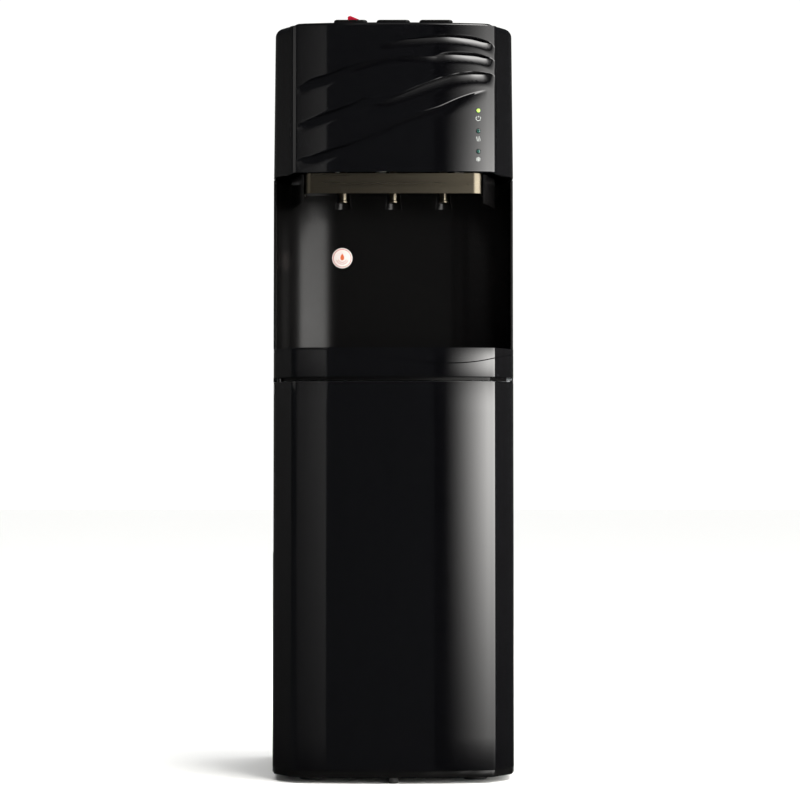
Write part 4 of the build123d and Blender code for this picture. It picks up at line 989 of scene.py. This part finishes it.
class DISPENSER_OT_lamps(bpy.types.Operator):
    """Builds the three indicator lenses and the printed icon under each"""

    bl_idname = "dispenser.lamps"
    bl_label = "Lamps and icons"

    def execute(self, context):
        sizes = context.scene.dispenser_sizes
        low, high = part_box("led_lenses")
        radius = (high.x - low.x) / 2
        x = (high.x + low.x) / 2
        top_z = high.z - radius
        pitch = (high.z - low.z - 2 * radius) / 2
        icon_drop = 10.5 * MM
        icons = bmesh.new()
        for row, strokes in enumerate((power_strokes, heat_strokes, snow_strokes)):
            z = top_z - row * pitch
            face_y = panel_y(sizes, x, z)
            rings = []
            rise = ((1.0, 0.2), (1.0, -0.25), (0.92, -0.42), (0.75, -0.55), (0.45, -0.66), (0.15, -0.7))
            for share, lift in rise:
                ring = circle((x, z), radius * share, 0.0, 32)
                rings.append([Vector((p.x, face_y + lift * MM, p.y)) for p in ring])
            lens = lofted("lens_%d" % (row + 1), rings)
            finish = "lit_lens" if row == 0 else "dark_lens"
            fit(lens, finish, "cabinet", ["led_lenses"] if row == 0 else ())
            rim = bmesh.new()
            rings = []
            roll = ((1.0, 0.3), (1.0, -0.3), (1.12, -0.36), (1.3, -0.3), (1.36, 0.0), (1.36, 0.3))
            for share, lift in roll:
                ring = circle((x, z), radius * share, 0.0, 32)
                rings.append([Vector((p.x, panel_y(sizes, p.x, p.y) + lift * MM, p.y)) for p in ring])
            bridge(rim, rings + [rings[0]])
            bmesh.ops.remove_doubles(rim, verts=rim.verts, dist=0.001 * MM)
            fit(mesh_piece("lens_rim_%d" % (row + 1), rim), "satin_black", "cabinet")
            middle = Vector((x, z - icon_drop))

            def place(point, lift, middle=middle):
                at = middle + point
                return Vector((at.x, panel_y(sizes, at.x, at.y) - 0.06 * MM * lift, at.y))

            for stroke in strokes(3.1 * MM):
                lay_stroke(icons, stroke, 0.75 * MM, place)
        fit(mesh_piece("lamp_icons", icons), "icon_ink", "cabinet")
        return {"FINISHED"}


class DISPENSER_OT_hot_disc(bpy.types.Operator):
    """Builds the round hot-water disc: white film with a printed ring and a drop"""

    bl_idname = "dispenser.hot_disc"
    bl_label = "Hot-water disc"

    def execute(self, context):
        low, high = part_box("hot_label")
        middle = Vector(((low.x + high.x) / 2, (low.z + high.z) / 2))
        radius = (high.x - low.x) / 2
        face_y = low.y + 0.08 * MM

        def place(point, lift):
            at = middle + point
            return Vector((at.x, face_y - 0.04 * MM * lift, at.y))

        def disc(share, y):
            return [Vector((p.x, y, p.y)) for p in circle(middle, radius * share, 0.0, 64)]

        film = lofted("disc_film", [disc(1.0, high.y), disc(1.0, face_y + 0.06 * MM), disc(0.99, face_y)])
        fit(film, "label", "cabinet", ["hot_label"])
        ring = bmesh.new()
        lay_stroke(ring, arc_line(Vector((0, 0)), radius * 0.88, 0, 354, 59), 0.9 * MM, place, closed=True)
        for share, steps in ((0.60, 24), (0.42, 20)):
            lay_stroke(ring, arc_line(Vector((0, 0)), radius * share, 200, 340, steps), 0.7 * MM, place)
        fit(mesh_piece("disc_ring", ring), "ring_ink", "cabinet")
        drop = bmesh.new()
        outline = []
        for step in range(40):
            angle = 2 * math.pi * step / 40
            wide = 0.24 * radius * math.sin(angle) * math.sin(angle / 2) ** 0.9
            outline.append(Vector((wide, 0.34 * radius * math.cos(angle) + 0.12 * radius)))
        loft(drop, [[place(point, lift) for point in outline] for lift in (0.0, 1.0)])
        fit(mesh_piece("disc_drop", drop), "drop_ink", "cabinet")
        return {"FINISHED"}


# ---- carried-over parts --------------------------------------------------------------------

class DISPENSER_OT_carried_parts(bpy.types.Operator):
    """Gives the remaining CAD parts their finishes and rounds their edges"""

    bl_idname = "dispenser.carried_parts"
    bl_label = "Carried-over parts"

    # Edge roundings, in millimetres
    rounding = {
        "tap_hood": 0.8, "base_plinth": 0.6, "left_side_panel": 0.35, "right_side_panel": 0.35,
        "rear_panel": 0.3, "child_lock": 0.6, "compartment_liner": 0.5, "door_liner": 0.5,
        "switch_housing": 0.8, "heating_switch": 0.6, "cooling_switch": 0.6, "power_inlet": 0.4,
        "drip_grille": 0.4, "door_strikes": 0.3, "door_magnets": 0.5,
    }
    # Painted shade: seen through the shaded gap over the door, so they are given black steel in place of
    # their own finish
    shade_blackened = ("door_hinge_pins", "door_strikes")

    def execute(self, context):
        slot_of = {part["node"]: part["material_slot"] for part in frame["record"]["subparts"]}
        for name, node in frame["nodes"].items():
            if node.hide_render:
                continue
            node.data.materials.clear()
            # painted shade: parts in the gap over the door take black steel
            finish = "black_steel" if name in self.shade_blackened else slot_of[name]
            node.data.materials.append(FINISHES[finish])
            if name in self.rounding:
                soften(node, self.rounding[name] * MM, segments=2, weld=True)
        return {"FINISHED"}


# ---- studio --------------------------------------------------------------------------------

def light_card(name, radius, azimuths, heights, glow):
    """A curved card round the object. glow is a function that adds the card's brightness to its tree."""
    mesh = bmesh.new()
    rings = []
    steps = 48
    for height in heights:
        ring = []
        for step in range(steps + 1):
            azimuth = math.radians(azimuths[0] + (azimuths[1] - azimuths[0]) * step / steps)
            ring.append(Vector((radius * math.sin(azimuth), -radius * math.cos(azimuth), height)))
        rings.append(ring)
    bridge(mesh, rings, closed=False)
    card = mesh_piece(name, mesh)
    material = bpy.data.materials.new(name + "Glow")
    material.use_nodes = True
    tree = material.node_tree
    tree.nodes.clear()
    place = add_node(tree, "ShaderNodeTexCoord")
    parts = add_node(tree, "ShaderNodeSeparateXYZ", [(0, place.outputs["Object"])])
    front = add_node(tree, "ShaderNodeMath", [(0, parts.outputs["Y"]), (1, -1.0)], operation="MULTIPLY")
    azimuth = add_node(tree, "ShaderNodeMath", [(0, parts.outputs["X"]), (1, front.outputs[0])],
                       operation="ARCTAN2")
    strength = glow(tree, azimuth.outputs[0], parts.outputs["Z"])
    warm_white = (1.0, 0.985, 0.96, 1.0)
    emission = add_node(tree, "ShaderNodeEmission", [("Color", warm_white), ("Strength", strength)])
    add_node(tree, "ShaderNodeOutputMaterial", [("Surface", emission.outputs[0])])
    card.data.materials.append(material)
    card.visible_camera = False
    card.visible_shadow = False


def ramp(tree, value, low, high, power=1.0):
    """0 below low, 1 above high, with a power curve between."""
    share = add_node(tree, "ShaderNodeMapRange", [("Value", value), ("From Min", low), ("From Max", high)])
    return add_node(tree, "ShaderNodeMath", [(0, share.outputs[0]), (1, power)], operation="POWER").outputs[0]


def bell(tree, value, centre, width):
    """A soft hump round centre."""
    offset = add_node(tree, "ShaderNodeMath", [(0, value), (1, centre)], operation="SUBTRACT")
    share = add_node(tree, "ShaderNodeMath", [(0, offset.outputs[0]), (1, width)], operation="DIVIDE")
    square = add_node(tree, "ShaderNodeMath", [(0, share.outputs[0]), (1, share.outputs[0])],
                      operation="MULTIPLY")
    minus = add_node(tree, "ShaderNodeMath", [(0, square.outputs[0]), (1, -1.0)], operation="MULTIPLY")
    return add_node(tree, "ShaderNodeMath", [(0, minus.outputs[0])], operation="EXPONENT").outputs[0]


def product(tree, *factors):
    """The product of several sockets or numbers."""
    total = factors[0]
    for factor in factors[1:]:
        total = add_node(tree, "ShaderNodeMath", [(0, total), (1, factor)], operation="MULTIPLY").outputs[0]
    return total


def add_area_light(name, location, aim, size, energy):
    """A rectangular softbox that looks at aim."""
    data = bpy.data.lights.new(name, "AREA")
    data.shape = "RECTANGLE"
    data.size, data.size_y = size
    data.energy = energy
    lamp = bpy.data.objects.new(name, data)
    bpy.context.scene.collection.objects.link(lamp)
    lamp.location = location
    lamp.rotation_euler = (Vector(aim) - Vector(location)).to_track_quat("-Z", "Y").to_euler()
    lamp.visible_camera = False


class DISPENSER_OT_studio(bpy.types.Operator):
    """Sets the pale floor, the backdrop, the softboxes and the camera"""

    bl_idname = "dispenser.studio"
    bl_label = "Studio"

    def execute(self, context):
        studio = context.scene.dispenser_studio
        scene = context.scene
        scene.view_settings.view_transform = "Standard"
        pale = tuple(studio.floor_colour)

        mesh = bmesh.new()
        reach, rows, floor_z = 60.0, 24, -0.2 * MM
        grid = [[mesh.verts.new((reach * (2 * i / rows - 1), reach * (2 * j / rows - 1), floor_z))
                 for i in range(rows + 1)] for j in range(rows + 1)]
        for j in range(rows):
            for i in range(rows):
                mesh.faces.new((grid[j][i], grid[j][i + 1], grid[j + 1][i + 1], grid[j + 1][i]))
        floor = mesh_piece("studio_floor", mesh)
        # Seamless paper: pale, matt, with a barely seen tooth
        material = surface_material("SeamlessPaper", "F2F2F0", "EFEFED", (0.8, 0.9), 2 * MM, 0.02 * MM)
        floor.data.materials.append(material)
        floor.visible_glossy = False

        world = bpy.data.worlds.new("PaleRoom")
        scene.world = world
        world.use_nodes = True
        tree = world.node_tree
        tree.nodes.clear()
        seen = add_node(tree, "ShaderNodeBackground", [("Color", (*pale, 1.0)), ("Strength", 1.2)])
        dim = add_node(tree, "ShaderNodeBackground", [("Color", (0.9, 0.95, 1.0, 1.0)), ("Strength", 0.05)])
        rays = add_node(tree, "ShaderNodeLightPath")
        both = add_node(tree, "ShaderNodeMixShader", [
            (0, rays.outputs["Is Camera Ray"]), (1, dim.outputs[0]), (2, seen.outputs[0])])
        add_node(tree, "ShaderNodeOutputWorld", [("Surface", both.outputs[0])])

        card_radius = 2.6

        def key_glow(tree, azimuth, height):
            side = ramp(tree, azimuth, math.radians(10.8), math.radians(21.2), 2.0)
            return product(tree, side, bell(tree, height, 0.66, 0.65), studio.key_strength)

        light_card("key_card", card_radius, (9, 88), (-1.2, 2.4), key_glow)

        def crown_glow(tree, azimuth, height):
            side = ramp(tree, azimuth, math.radians(8.0), math.radians(22), 2.0)
            faint = 0.05   # share that is left over the front, for the thin lines under its creases
            side = add_node(tree, "ShaderNodeMath", [(0, side), (1, faint)], operation="ADD").outputs[0]
            return product(tree, side, ramp(tree, height, 1.9, 3.4, 1.5), studio.crown_strength)

        light_card("crown_card", card_radius, (-14, 88), (1.8, 6.5), crown_glow)

        def fill_glow(tree, azimuth, height):
            outward = ramp(tree, azimuth, math.radians(-27), math.radians(-15.2), 1.2)
            return product(tree, outward, bell(tree, height, 0.8, 1.0), studio.fill_strength)

        light_card("fill_card", card_radius, (-28, -15.2), (-1.0, 1.6), fill_glow)

        def wing_glow(tree, azimuth, height):
            return product(tree, bell(tree, height, 0.9, 1.2), studio.wing_strength)

        def sliver_glow(tree, azimuth, height):
            return product(tree, bell(tree, height, 1.3, 0.4), 6 * studio.wing_strength)

        light_card("right_wing", card_radius, (95, 150), (-0.8, 2.2), wing_glow)
        light_card("left_wing", card_radius, (-150, -95), (-0.8, 2.2), wing_glow)
        light_card("left_sliver", card_radius, (-75, -35), (0.95, 1.6), sliver_glow)

        wash = bpy.data.lights.new("floor_wash", "SUN")
        wash.energy = studio.wash_strength
        wash.angle = math.radians(80)
        lamp = bpy.data.objects.new("floor_wash", wash)
        scene.collection.objects.link(lamp)
        lamp.rotation_euler = (math.radians(-12), math.radians(14), 0.0)
        lamp.visible_glossy = False
        add_area_light("rear_softbox", (-1.6, 2.6, 1.2), (0.0, 0.0, 0.5), (2.2, 2.0), 26)
        add_area_light("rear_right_softbox", (2.4, 2.0, 1.2), (0.0, 0.0, 0.5), (1.6, 2.0), 16)

        data = bpy.data.cameras.new("camera")
        data.lens = studio.camera_lens
        data.sensor_width = 36.0
        data.clip_end = 100.0
        camera = bpy.data.objects.new("camera", data)
        scene.collection.objects.link(camera)
        camera.location = (0.009, -studio.camera_distance, studio.camera_height)
        camera.rotation_euler = (math.pi / 2 + studio.camera_pitch, 0.0, 0.0)
        scene.camera = camera
        return {"FINISHED"}


class DISPENSER_PT_panel(bpy.types.Panel):
    """Lists the dispenser's sizes and the operators that build it"""

    bl_label = "Water dispenser"
    bl_idname = "DISPENSER_PT_panel"
    bl_space_type = "VIEW_3D"
    bl_region_type = "UI"
    bl_category = "Dispenser"

    def draw(self, context):
        layout = self.layout
        for group in (context.scene.dispenser_sizes, context.scene.dispenser_studio):
            box = layout.box()
            for name in group.__annotations__:
                box.prop(group, name)
        for operator in BUILDERS:
            layout.operator(operator.bl_idname)


BUILDERS = (
    DISPENSER_OT_door,
    DISPENSER_OT_trim_and_tray,
    DISPENSER_OT_niche,
    DISPENSER_OT_head,
    DISPENSER_OT_relief_panel,
    DISPENSER_OT_band,
    DISPENSER_OT_taps,
    DISPENSER_OT_keys,
    DISPENSER_OT_lamps,
    DISPENSER_OT_hot_disc,
    DISPENSER_OT_carried_parts,
    DISPENSER_OT_studio,
)
CLASSES = (DispenserSizes, DispenserStudio, *BUILDERS, DISPENSER_PT_panel)


def register():
    for made in CLASSES:
        bpy.utils.register_class(made)
    bpy.types.Scene.dispenser_sizes = bpy.props.PointerProperty(type=DispenserSizes)
    bpy.types.Scene.dispenser_studio = bpy.props.PointerProperty(type=DispenserStudio)


def unregister():
    del bpy.types.Scene.dispenser_studio
    del bpy.types.Scene.dispenser_sizes
    for made in reversed(CLASSES):
        bpy.utils.unregister_class(made)


def main():
    """Builds everything."""
    register()
    FINISHES.update(make_materials())
    for builder in BUILDERS:
        group, name = builder.bl_idname.split(".")
        result = getattr(getattr(bpy.ops, group), name)()
        if result != {"FINISHED"}:
            raise RuntimeError(builder.bl_label + " wasn't built")


if __name__ == "__main__":
    main()
